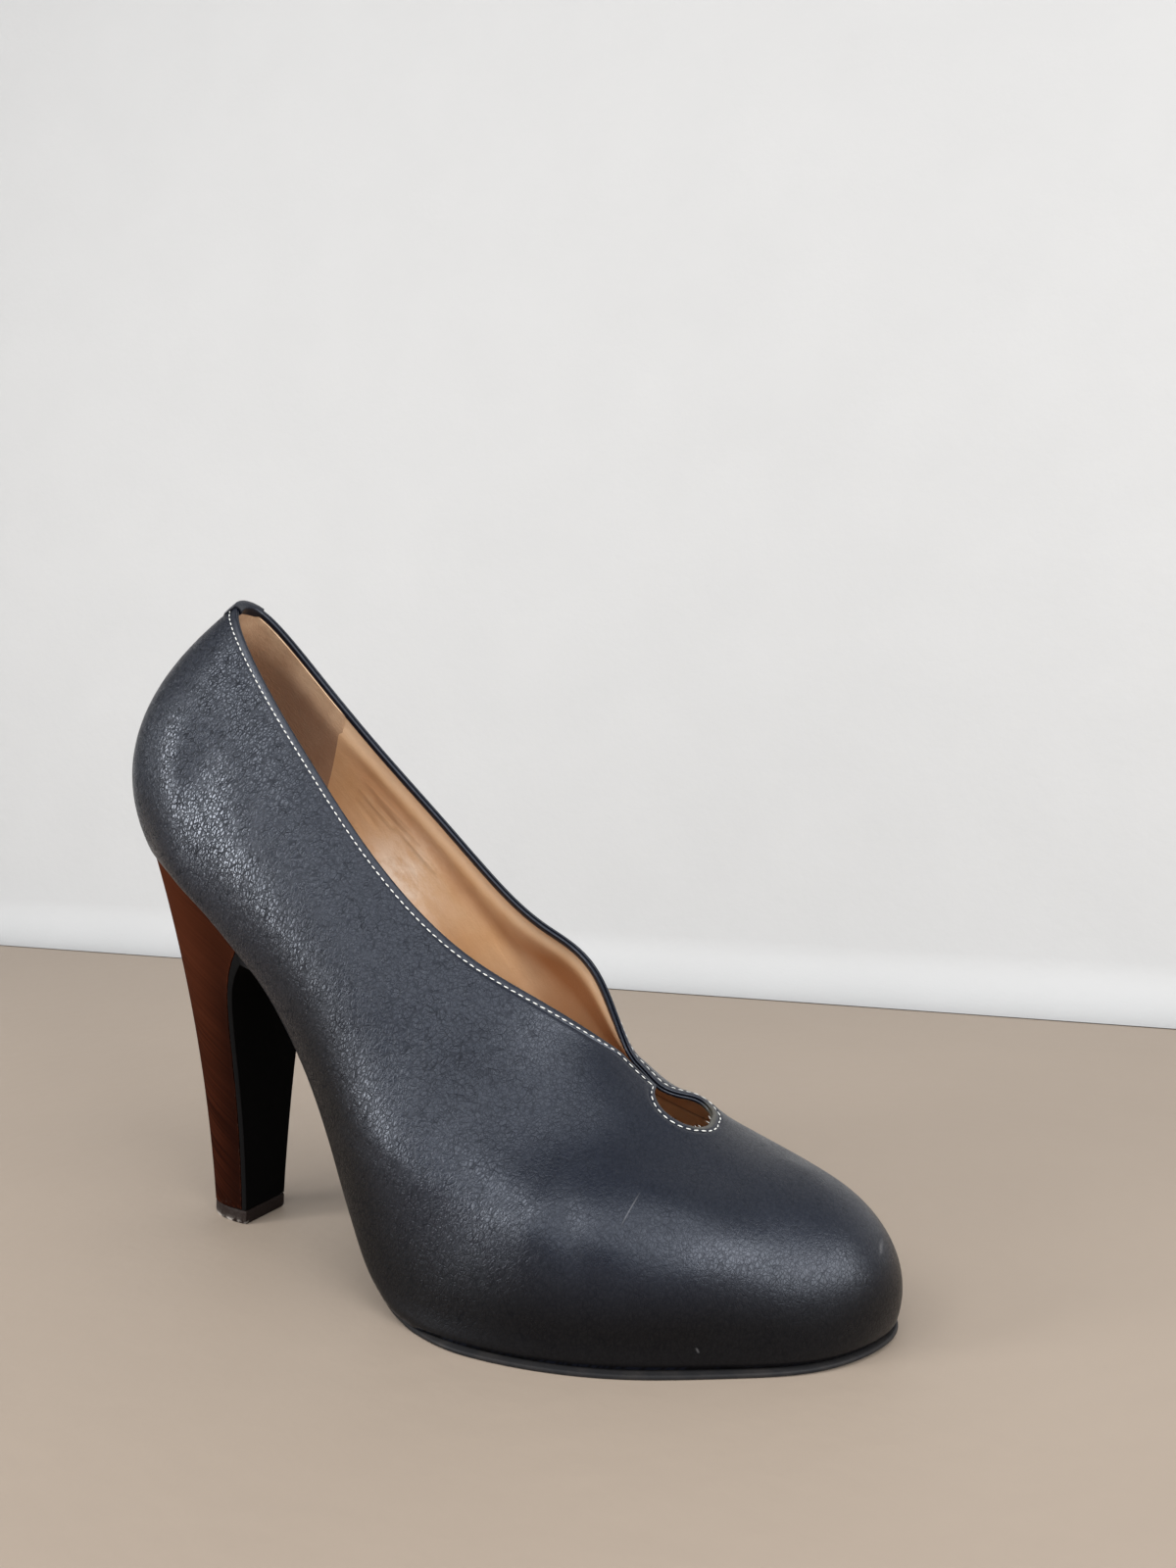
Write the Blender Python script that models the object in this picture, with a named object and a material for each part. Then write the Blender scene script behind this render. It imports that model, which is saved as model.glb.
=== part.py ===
# Cut-out pump for the right foot: leather upper over a covered platform, stacked heel, thin sole.
# Lengths in the tables are millimetres. +X points to the toe, +Y to the medial side, +Z up.
# The origin is the tread point, on the floor under the ball of the foot.

from collections import namedtuple
from math import cos, pi, radians, sin

import bmesh
import bpy
import numpy as np

for old in list(bpy.data.objects):
    bpy.data.objects.remove(old, do_unlink=True)

MM = 0.001
GAP = 0.3
WALL = 1.8
LIP = 1.3
WAIST_INSET = 2.5
FOREFOOT_THICK = 1.7

LIFT_HEIGHT = 5.5
LIFT_FRONT_X = -111.0
LIFT_DEPTH = 16.0
LIFT_HALF_WIDTH = 8.2
BREAST_THICK = 1.5
BREAST_TOP_X = -105.5
HEEL_INSET = 1.0
HEEL_SAG = 2.5
HEEL_LEVELS = (0.0, 0.05, 0.1, 0.18, 0.28, 0.4, 0.55, 0.7, 0.85, 1.0)

THROAT_X = 2.0
KEYHOLE_BACK_X = 4.5
KEYHOLE_FRONT_X = 21.0
KEYHOLE_NECK_GAP = 1.6
KEYHOLE_HALF_LATERAL = 11.9
KEYHOLE_HALF_MEDIAL = 8.4
KEYHOLE_SWELL = 0.72
NECK_ROUND = 1.3
NECK_REACH = 4.0

TAB_HALF_WIDTH = 11.0
TAB_THICK = 0.9

# Feather line in side view: the upper's lower edge, from the heel seat down the waist to the toe.
Profile = namedtuple("Profile", "x z")
FEATHER = (
    Profile(-153.0, 105.0),
    Profile(-136.0, 96.6),
    Profile(-118.0, 87.4),
    Profile(-104.0, 76.8),
    Profile(-93.6, 67.6),
    Profile(-81.0, 51.9),
    Profile(-69.8, 35.0),
    Profile(-59.8, 18.9),
    Profile(-50.8, 7.0),
    Profile(-42.0, 2.8),
    Profile(-34.0, 2.0),
    Profile(30.0, 2.0),
    Profile(48.0, 2.2),
    Profile(64.0, 3.0),
)

# Footbed in side view: level over the covered platform, then up the waist to the heel seat.
FOOTBED = (
    Profile(-153.0, 108.2),
    Profile(-136.0, 99.8),
    Profile(-118.0, 90.6),
    Profile(-102.0, 78.0),
    Profile(-88.0, 64.0),
    Profile(-75.0, 47.5),
    Profile(-62.0, 31.5),
    Profile(-50.0, 21.5),
    Profile(-38.0, 18.3),
    Profile(-30.0, 18.0),
    Profile(64.0, 18.0),
)

# Sections round the shoe, a row each from the heel seam to the toe tip.
# Feather edge in plan: lateral side is negative, medial side positive.
Foot = namedtuple("Foot", "x lateral medial")
FOOT = (
    Foot(-148.2, 0.0, 0.0),
    Foot(-143.8, -12.0, 11.8),
    Foot(-130.0, -20.2, 19.4),
    Foot(-111.0, -22.0, 20.4),
    Foot(-94.0, -23.4, 19.0),
    Foot(-81.0, -25.4, 17.6),
    Foot(-68.0, -29.2, 18.2),
    Foot(-53.0, -36.6, 23.4),
    Foot(-32.0, -44.4, 32.6),
    Foot(-8.0, -45.8, 38.0),
    Foot(14.0, -40.6, 38.2),
    Foot(34.0, -30.6, 33.0),
    Foot(50.0, -20.4, 24.0),
    Foot(58.6, -9.6, 14.6),
    Foot(62.2, 3.0, 3.0),
)

# Collar edge of the open sections, lateral and medial.
Collar = namedtuple("Collar", "lat_x lat_y lat_z med_x med_y med_z")
COLLAR = (
    Collar(-122.5, 0.0, 173.2, -122.5, 0.0, 173.2),
    Collar(-119.5, -7.5, 168.8, -118.8, 7.5, 169.8),
    Collar(-106.0, -13.6, 151.4, -105.0, 13.5, 153.0),
    Collar(-86.0, -17.4, 127.8, -85.0, 17.6, 130.6),
    Collar(-67.0, -19.5, 106.6, -66.0, 20.2, 111.4),
    Collar(-50.0, -20.0, 90.6, -49.0, 20.4, 95.4),
    Collar(-34.0, -18.8, 79.3, -33.5, 18.5, 85.0),
    Collar(-15.5, -14.0, 69.0, -15.3, 13.5, 73.4),
)

# Ridge stations of the closed sections over the vamp.
RIDGE_X = (1.5, 13.0, 24.0, 31.0, 35.0, 37.0, 37.6)
RIDGE_Y = 0.3
RIDGE_SWING = 0.05
RIDGE = (
    Profile(-20.0, 78.0),
    Profile(0.0, 57.0),
    Profile(7.0, 51.0),
    Profile(14.0, 47.2),
    Profile(21.0, 43.6),
    Profile(32.0, 38.6),
    Profile(43.0, 35.2),
)

# Handles of each section curve: up and out from the feather edge, out and down from the top.
Shape = namedtuple("Shape", "rise lat_flare med_flare lat_shoulder med_shoulder drop")
SHAPE = (
    Shape(22.0, 18.4, 18.4, 21.0, 21.0, 24.0),
    Shape(22.0, 16.6, 16.6, 20.5, 20.5, 22.0),
    Shape(20.0, 12.6, 12.6, 11.5, 11.5, 19.0),
    Shape(17.0, 12.0, 11.0, 9.5, 9.0, 15.0),
    Shape(15.0, 12.0, 11.0, 10.5, 9.0, 13.0),
    Shape(15.0, 11.5, 11.0, 13.0, 10.0, 12.0),
    Shape(17.0, 10.0, 11.0, 17.0, 13.0, 11.0),
    Shape(21.0, 6.5, 9.0, 21.0, 18.0, 9.0),
    Shape(26.0, 3.5, 5.0, 22.5, 20.5, 0.0),
    Shape(26.0, 2.5, 3.0, 22.5, 21.5, 0.0),
    Shape(24.0, 3.0, 3.0, 23.5, 23.0, 0.0),
    Shape(21.0, 5.0, 5.0, 23.0, 23.0, 0.0),
    Shape(19.0, 9.0, 9.0, 20.5, 20.5, 0.0),
    Shape(18.5, 13.6, 13.6, 19.5, 19.5, 0.0),
    Shape(18.0, 16.0, 16.0, 19.5, 19.5, 0.0),
)


def along(rows, x):
    """Height of a side-view profile at x, smooth and without overshoot between its rows."""
    xs = np.array([row.x for row in rows])
    zs = np.array([row.z for row in rows])
    steps = np.diff(xs)
    falls = np.diff(zs) / steps
    slopes = np.zeros(len(xs))
    slopes[0] = falls[0]
    slopes[-1] = falls[-1]
    for i in range(1, len(xs) - 1):
        if falls[i - 1] * falls[i] > 0.0:
            before = 2.0 * steps[i] + steps[i - 1]
            after = steps[i] + 2.0 * steps[i - 1]
            slopes[i] = (before + after) / (before / falls[i - 1] + after / falls[i])
    x = min(max(x, xs[0]), xs[-1])
    i = min(int(np.searchsorted(xs, x, side="right")) - 1, len(steps) - 1)
    t = (x - xs[i]) / steps[i]
    start = (1.0 + 2.0 * t) * (1.0 - t) ** 2 * zs[i] + t * (1.0 - t) ** 2 * steps[i] * slopes[i]
    end = t * t * (3.0 - 2.0 * t) * zs[i + 1] - t * t * (1.0 - t) * steps[i] * slopes[i + 1]
    return start + end


def ridge(x):
    """Centre of the vamp ridge at x."""
    return np.array((x, RIDGE_Y + RIDGE_SWING * x, along(RIDGE, x)))


def ridge_fall(x):
    return along(RIDGE, x + 0.5) - along(RIDGE, x - 0.5)


class LoopSpline:
    """Smooth closed curve through one row of values for each section round the shoe."""

    def __init__(self, knots, period, values):
        self.knots = np.asarray(knots)
        self.period = period
        self.values = np.asarray(values)
        count = len(knots)
        steps = np.diff(np.append(self.knots, self.knots[0] + period))
        matrix = np.zeros((count, count))
        right = np.zeros(self.values.shape)
        for i in range(count):
            before = (i - 1) % count
            after = (i + 1) % count
            matrix[i, before] += steps[before]
            matrix[i, i] += 2.0 * (steps[before] + steps[i])
            matrix[i, after] += steps[i]
            rising = (self.values[after] - self.values[i]) / steps[i]
            falling = (self.values[i] - self.values[before]) / steps[before]
            right[i] = 6.0 * (rising - falling)
        self.bends = np.linalg.solve(matrix, right)
        self.steps = steps

    def at(self, s):
        s = s % self.period
        i = int(np.searchsorted(self.knots, s, side="right")) - 1
        j = (i + 1) % len(self.knots)
        step = self.steps[i]
        b = (s - self.knots[i]) / step
        a = 1.0 - b
        curve = ((a ** 3 - a) * self.bends[i] + (b ** 3 - b) * self.bends[j]) * step * step / 6.0
        return a * self.values[i] + b * self.values[j] + curve


def section_rows():
    """Columns of every section round the loop: lateral side out to the toe, medial side back."""
    lateral = []
    medial = []
    for i, (foot, shape) in enumerate(zip(FOOT, SHAPE)):
        if i < len(COLLAR):
            edge = COLLAR[i]
            lat_top = (edge.lat_x, edge.lat_y, edge.lat_z)
            med_top = (edge.med_x, edge.med_y, edge.med_z)
        else:
            lat_top = med_top = tuple(ridge(RIDGE_X[i - len(COLLAR)]))
        lat_handles = (shape.rise, shape.lat_flare, shape.lat_shoulder, shape.drop)
        med_handles = (shape.rise, shape.med_flare, shape.med_shoulder, shape.drop)
        lateral.append((foot.x, foot.lateral) + lat_top + lat_handles)
        medial.append((foot.x, foot.medial) + med_top + med_handles)
    return np.array(lateral), np.array(medial)


LATERAL, MEDIAL = section_rows()


def girth_knots():
    """Distance of each section from the heel seam, the mean of both sides along the feather edge."""
    knots = [0.0]
    for a, b in zip(range(len(FOOT) - 1), range(1, len(FOOT))):
        fall = along(FEATHER, FOOT[b].x) - along(FEATHER, FOOT[a].x)
        run = FOOT[b].x - FOOT[a].x
        lat = np.sqrt(run ** 2 + fall ** 2 + (FOOT[b].lateral - FOOT[a].lateral) ** 2)
        med = np.sqrt(run ** 2 + fall ** 2 + (FOOT[b].medial - FOOT[a].medial) ** 2)
        knots.append(knots[-1] + 0.5 * (lat + med))
    return np.array(knots)


KNOTS = girth_knots()
TOE_S = KNOTS[-1]
GIRTH = 2.0 * TOE_S
THROAT_S = KNOTS[len(COLLAR)]
LOOP = LoopSpline(
    np.concatenate((KNOTS, GIRTH - KNOTS[-2:0:-1])),
    GIRTH,
    np.concatenate((LATERAL, MEDIAL[-2:0:-1])),
)


def foot_point(s):
    row = LOOP.at(s)
    return np.array((row[0], row[1], along(FEATHER, row[0])))


def plan_out(s):
    """Outward direction of the feather edge in plan."""
    step = 0.5
    run = LOOP.at(s + step)[:2] - LOOP.at(s - step)[:2]
    run /= np.linalg.norm(run)
    return np.array((run[1], -run[0], 0.0))


def from_heel(s):
    """Distance to the heel seam on the shorter way round."""
    return min(s % GIRTH, GIRTH - s % GIRTH)


def side_of(s):
    return -1.0 if s % GIRTH <= TOE_S else 1.0


def handles(s):
    """The four points of the section curve at s."""
    row = LOOP.at(s)
    out = plan_out(s)
    foot = np.array((row[0], row[1], along(FEATHER, row[0])))
    rise, flare, shoulder, drop = row[5:9]
    if from_heel(s) >= THROAT_S:
        top = ridge(row[2])
        fall = ridge_fall(row[2])
    else:
        top = row[2:5].copy()
        fall = ridge_fall(RIDGE_X[0]) * (from_heel(s) / THROAT_S) ** 8
    lift = np.array((0.0, 0.0, out[0] * fall * shoulder))
    lean = np.array((top[0] - foot[0], 0.0, top[2] - foot[2]))
    lean /= np.linalg.norm(lean)
    low = foot + lean * rise + out * flare
    high = top + out * shoulder - lean * drop + lift
    return foot, low, high, top


def section(s, v):
    """Point of the full section curve, v from 0 at the feather edge to 1 at the top."""
    p0, p1, p2, p3 = handles(s)
    w = 1.0 - v
    return w ** 3 * p0 + 3.0 * w * w * v * p1 + 3.0 * w * v * v * p2 + v ** 3 * p3


def half_opening(x, half_width):
    """Half the width of the keyhole at x, from its neck to its rounded front."""
    if x >= KEYHOLE_FRONT_X:
        return 0.0
    if x <= KEYHOLE_BACK_X:
        return KEYHOLE_NECK_GAP
    u = (x - KEYHOLE_BACK_X) / (KEYHOLE_FRONT_X - KEYHOLE_BACK_X)
    widest = KEYHOLE_SWELL / (KEYHOLE_SWELL + 0.5)
    full = widest ** KEYHOLE_SWELL * (1.0 - widest) ** 0.5
    swell = (half_width - KEYHOLE_NECK_GAP) * u ** KEYHOLE_SWELL / full
    return (KEYHOLE_NECK_GAP * (1.0 - u) + swell) * (1.0 - u) ** 0.5


def edge_at(s):
    """Where the section curve stops: at the collar, or at the throat and keyhole edge."""
    top = section(s, 1.0)
    if top[0] < THROAT_X - 14.0 or top[0] >= KEYHOLE_FRONT_X - 1e-6:
        return 1.0

    def apart(v):
        p = section(s, v)
        return side_of(s) * (p[1] - ridge(p[0])[1])

    collar = apart(1.0)
    half_width = KEYHOLE_HALF_LATERAL if side_of(s) < 0.0 else KEYHOLE_HALF_MEDIAL
    keyhole = half_opening(top[0], half_width)
    soft = NECK_ROUND * np.exp(-((top[0] - THROAT_X) / NECK_REACH) ** 2)
    wanted = 0.5 * (collar + keyhole + np.sqrt((collar - keyhole) ** 2 + 4.0 * soft ** 2))
    low, high = 0.5, 1.0
    for _ in range(40):
        mid = 0.5 * (low + high)
        if apart(mid) >= wanted:
            low = mid
        else:
            high = mid
    return low


def outward(s, v):
    """Unit normal of the outer surface."""
    v = min(max(v, 0.002), 0.985)
    ds = section(s + 0.4, v) - section(s - 0.4, v)
    dv = section(s, v + 0.002) - section(s, v - 0.002)
    normal = np.cross(ds, dv)
    return normal / np.linalg.norm(normal)


def solve_s(wanted, low, high, column):
    """Station between low and high where a column of the lateral sections reaches a value."""
    for _ in range(60):
        mid = 0.5 * (low + high)
        if LOOP.at(mid)[column] < wanted:
            low = mid
        else:
            high = mid
    return 0.5 * (low + high)


KEYHOLE_S = solve_s(KEYHOLE_FRONT_X, THROAT_S, TOE_S, 2)
BREAST_S = solve_s(BREAST_TOP_X, 0.0, TOE_S, 0)


def stations(spans):
    """Stations with equal steps inside each span (start, end, count)."""
    values = []
    for start, end, count in spans:
        values.extend(start + (end - start) * k / count for k in range(count))
    values.append(spans[-1][1])
    return values


def sheet(bm, across, up, point):
    """Grid of faces laid on point(i, j), i from 0 to across and j from 0 to up."""
    made = bmesh.ops.create_grid(bm, x_segments=across, y_segments=up, size=1.0)
    for vert in made["verts"]:
        i = int(round((vert.co.x + 1.0) * 0.5 * across))
        j = int(round((vert.co.y + 1.0) * 0.5 * up))
        vert.co = point(i, j) * MM


def paint(name, colour, roughness, metallic=0.0):
    material = bpy.data.materials.new(name)
    material.use_nodes = True
    shader = material.node_tree.nodes["Principled BSDF"]
    shader.inputs["Base Color"].default_value = (*colour, 1.0)
    shader.inputs["Roughness"].default_value = roughness
    shader.inputs["Metallic"].default_value = metallic
    return material


def finish(bm, name, material, angle=40.0):
    """Close the sheets into one body with its faces pointing out."""
    bmesh.ops.remove_doubles(bm, verts=bm.verts[:], dist=0.00002)
    bmesh.ops.dissolve_degenerate(bm, edges=bm.edges[:], dist=0.00001)
    bmesh.ops.recalc_face_normals(bm, faces=bm.faces[:])
    if bm.calc_volume(signed=True) < 0.0:
        bmesh.ops.reverse_faces(bm, faces=bm.faces[:])
    mesh = bpy.data.meshes.new(name)
    bm.to_mesh(mesh)
    bm.free()
    mesh.materials.append(material)
    mesh.shade_smooth()
    mesh.set_sharp_from_angle(angle=radians(angle))
    piece = bpy.data.objects.new(name, mesh)
    bpy.context.scene.collection.objects.link(piece)
    return piece


# Upper: outer skin of both sides, thickened inward by the wall.
def build_upper():
    girth = stations((
        (0.0, TAB_HALF_WIDTH, 6),
        (TAB_HALF_WIDTH, BREAST_S, 9),
        (BREAST_S, KNOTS[7], 12),
        (KNOTS[7], THROAT_S, 7),
        (THROAT_S, KEYHOLE_S - 4.0, 11),
        (KEYHOLE_S - 4.0, KEYHOLE_S, 4),
        (KEYHOLE_S, TOE_S, 16),
    ))
    rows = 14
    bm = bmesh.new()
    for way in (1.0, -1.0):
        ends = [edge_at(way * s) for s in girth]
        ends[0] = 1.0
        ends[-1] = 1.0
        sheet(bm, len(girth) - 1, rows, lambda i, j: section(way * girth[i], ends[i] * j / rows))
    piece = finish(bm, "upper", paint("black_leather", (0.012, 0.013, 0.016), 0.42))
    wall = piece.modifiers.new("wall", "SOLIDIFY")
    wall.thickness = WALL * MM
    wall.offset = -1.0
    wall.use_even_offset = True
    wall.use_quality_normals = True
    return piece


# Insole: fills the foot of the shell up to the footbed.
def inset_point(s, v):
    return section(s, v) - outward(s, v) * (WALL + 2.0 * GAP)


def footbed_edge(s):
    low, high = 0.0, 0.85
    for _ in range(40):
        mid = 0.5 * (low + high)
        p = inset_point(s, mid)
        if p[2] < along(FOOTBED, p[0]):
            low = mid
        else:
            high = mid
    return low


def build_insole():
    girth = stations((
        (0.0, BREAST_S, 9),
        (BREAST_S, THROAT_S, 13),
        (THROAT_S, KEYHOLE_S, 8),
        (KEYHOLE_S, TOE_S, 12),
    ))
    count = len(girth) - 1
    rows = 3
    across = 6
    edges = {way: [footbed_edge(way * s) for s in girth] for way in (1.0, -1.0)}
    bm = bmesh.new()

    def side(way, i, j):
        return inset_point(way * girth[i], edges[way][i] * j / rows)

    def span(i, j, level):
        a = side(1.0, i, level)
        b = side(-1.0, i, level)
        w = j / across
        dish = 1.2 * sin(pi * w) if level else 0.0
        return a * (1.0 - w) + b * w - np.array((0.0, 0.0, dish))

    for way in (1.0, -1.0):
        sheet(bm, count, rows, lambda i, j: side(way, i, j))
    sheet(bm, count, across, lambda i, j: span(i, j, 0))
    sheet(bm, count, across, lambda i, j: span(i, j, rows))
    return finish(bm, "insole", paint("tan_lining", (0.45, 0.27, 0.17), 0.6))


# Heel: half-round block under the seat, drawn in toward the lift, with a flat breast.
def heel_point(k, u):
    """k from -1 at the medial breast corner over the back to 1 at the lateral corner, u downward."""
    s = k * BREAST_S
    foot = foot_point(s)
    out = plan_out(s)
    top = foot - out * HEEL_INSET
    top[2] = along(FEATHER, top[0]) - GAP
    front = LIFT_FRONT_X - BREAST_THICK - GAP
    depth = LIFT_DEPTH - BREAST_THICK - GAP
    angle = k * pi / 2.0
    low = np.array((front - depth * cos(angle), -LIFT_HALF_WIDTH * sin(angle), LIFT_HEIGHT + GAP))
    corner = abs(k) ** 4
    share = (1.0 - corner) * (1.0 - u) + corner * (1.0 - u) ** 8
    p = top * (1.0 - u) + low * u
    p[0] = low[0] + (top[0] - low[0]) * share
    sag = HEEL_SAG * 4.0 * u * (1.0 - u)
    p[0] -= out[0] * sag * (1.0 - corner)
    p[1] -= out[1] * sag * (0.6 if k < 0.0 else 1.0)
    return p


def build_block(name, material, point, around, levels):
    """Half-round block: side wall, flat front, and caps that join both sides."""
    half = around // 2
    bm = bmesh.new()
    sheet(bm, around, levels, lambda i, j: point((i - half) / half, j))
    sheet(bm, 4, levels, lambda i, j: point(-1.0, j) * (1.0 - i / 4) + point(1.0, j) * (i / 4))
    for j in (0, levels):
        def cap(i, n):
            return point(-i / half, j) * (1.0 - n / 4) + point(i / half, j) * (n / 4)

        sheet(bm, half, 4, cap)
    return finish(bm, name, material)


def build_heel():
    material = paint("stacked_heel", (0.09, 0.035, 0.02), 0.3)
    levels = len(HEEL_LEVELS) - 1
    return build_block("heel", material, lambda k, j: heel_point(k, HEEL_LEVELS[j]), 36, levels)


def build_lift():
    def point(k, j):
        angle = k * pi / 2.0
        x = LIFT_FRONT_X - LIFT_DEPTH * cos(angle)
        return np.array((x, -LIFT_HALF_WIDTH * sin(angle), LIFT_HEIGHT * (1 - j)))

    return build_block("top_lift", paint("lift_rubber", (0.015, 0.014, 0.013), 0.6), point, 32, 1)


# Outsole: one sheet from the lift up the breast, along the waist and under the forefoot.
def waist_share(x):
    t = min(max((x + 51.0) / 30.0, 0.0), 1.0)
    return t * t * (3.0 - 2.0 * t)


def sole_rows():
    """Rows of lateral and medial points, upper face then lower face."""
    rows = []
    for u in reversed(HEEL_LEVELS):
        turn = max(0.0, 1.0 - u / HEEL_LEVELS[3])
        angle = radians(-72.0) * turn
        thick = BREAST_THICK + 2.4 * turn ** 2
        step = np.array((cos(angle), 0.0, sin(angle))) * thick
        near = np.array((GAP, 0.0, 0.0))
        lat = heel_point(1.0, u) + near
        med = heel_point(-1.0, u) + near
        rows.append((lat, med, lat + step, med + step))
    first = BREAST_S + 6.5
    girth = stations((
        (first, KNOTS[8], 16),
        (KNOTS[8], KNOTS[10], 8),
        (KNOTS[10], TOE_S, 20),
    ))
    for s in girth:
        x = LOOP.at(s)[0]
        fall = along(FEATHER, x + 0.5) - along(FEATHER, x - 0.5)
        down = np.array((fall, 0.0, -1.0)) / np.sqrt(1.0 + fall * fall)
        share = waist_share(x)
        lip = -WAIST_INSET * (1.0 - share) + LIP * share
        thick = FOREFOOT_THICK - 0.4 * (1.0 - share)
        lat = foot_point(s) + plan_out(s) * lip + down * GAP
        med = foot_point(-s) + plan_out(-s) * lip + down * GAP
        rows.append((lat, med, lat + down * thick, med + down * thick))
    return rows


def build_outsole():
    rows = sole_rows()
    count = len(rows) - 1
    across = 4
    bm = bmesh.new()

    def span(i, j, face):
        w = j / across
        return rows[i][face] * (1.0 - w) + rows[i][face + 1] * w

    sheet(bm, count, across, lambda i, j: span(i, j, 0))
    sheet(bm, count, across, lambda i, j: span(i, j, 2))
    for n in (0, 1):
        sheet(bm, count, 1, lambda i, j: rows[i][n + 2 * j])
    sheet(bm, across, 1, lambda i, j: span(0, i, 2 * j))
    return finish(bm, "outsole", paint("sole_black", (0.014, 0.014, 0.015), 0.35))


# Heel tab: strip folded over the collar at the back seam.
def build_tab():
    count = 12
    bm = bmesh.new()

    def ring(s):
        out = outward(s, 0.97)
        edge = section(s, 1.0)
        rise = edge - section(s, 0.97)
        rise /= np.linalg.norm(rise)

        def leg(v, offset):
            return section(s, v) + outward(s, v) * offset

        near = GAP
        far = GAP + TAB_THICK
        return [
            leg(0.955, far),
            leg(0.975, far),
            edge + out * far + rise * GAP,
            edge + out * (far - 0.5) + rise * (far - 0.2),
            edge - out * (WALL + far - 0.5) + rise * (far - 0.2),
            edge - out * (WALL + far) + rise * GAP,
            leg(0.965, -WALL - far),
            leg(0.965, -WALL - near),
            edge - out * (WALL + near) + rise * GAP,
            edge + out * near + rise * GAP,
            leg(0.975, near),
            leg(0.955, near),
        ]

    rings = [ring(-TAB_HALF_WIDTH + 2.0 * TAB_HALF_WIDTH * i / count) for i in range(count + 1)]
    around = len(rings[0])
    sheet(bm, count, around, lambda i, j: rings[i][j % around])
    bmesh.ops.remove_doubles(bm, verts=bm.verts[:], dist=0.00002)
    bmesh.ops.holes_fill(bm, edges=[edge for edge in bm.edges if edge.is_boundary], sides=0)
    return finish(bm, "heel_tab", paint("tab_leather", (0.013, 0.013, 0.015), 0.4))


build_upper()
build_insole()
build_outsole()
build_heel()
build_lift()
build_tab()
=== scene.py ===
from math import atan2, cos, hypot, pi, radians, sin

import bmesh
import bpy
import numpy as np
from mathutils import Matrix, Vector
from mathutils.kdtree import KDTree


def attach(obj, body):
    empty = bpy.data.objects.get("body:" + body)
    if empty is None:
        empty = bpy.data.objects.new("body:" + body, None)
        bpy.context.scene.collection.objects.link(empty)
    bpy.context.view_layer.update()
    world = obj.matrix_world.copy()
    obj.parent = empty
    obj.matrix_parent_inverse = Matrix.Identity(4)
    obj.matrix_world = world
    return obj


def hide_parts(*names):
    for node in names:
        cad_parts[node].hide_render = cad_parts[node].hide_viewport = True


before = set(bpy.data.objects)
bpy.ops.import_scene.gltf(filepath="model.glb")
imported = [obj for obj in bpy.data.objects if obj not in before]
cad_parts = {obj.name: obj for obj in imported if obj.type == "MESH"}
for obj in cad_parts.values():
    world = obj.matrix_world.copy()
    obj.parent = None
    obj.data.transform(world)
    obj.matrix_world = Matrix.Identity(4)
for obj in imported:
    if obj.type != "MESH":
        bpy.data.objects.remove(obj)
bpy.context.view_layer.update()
mm = 0.001
print("frame loaded:", ", ".join(sorted(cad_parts)))

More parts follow.
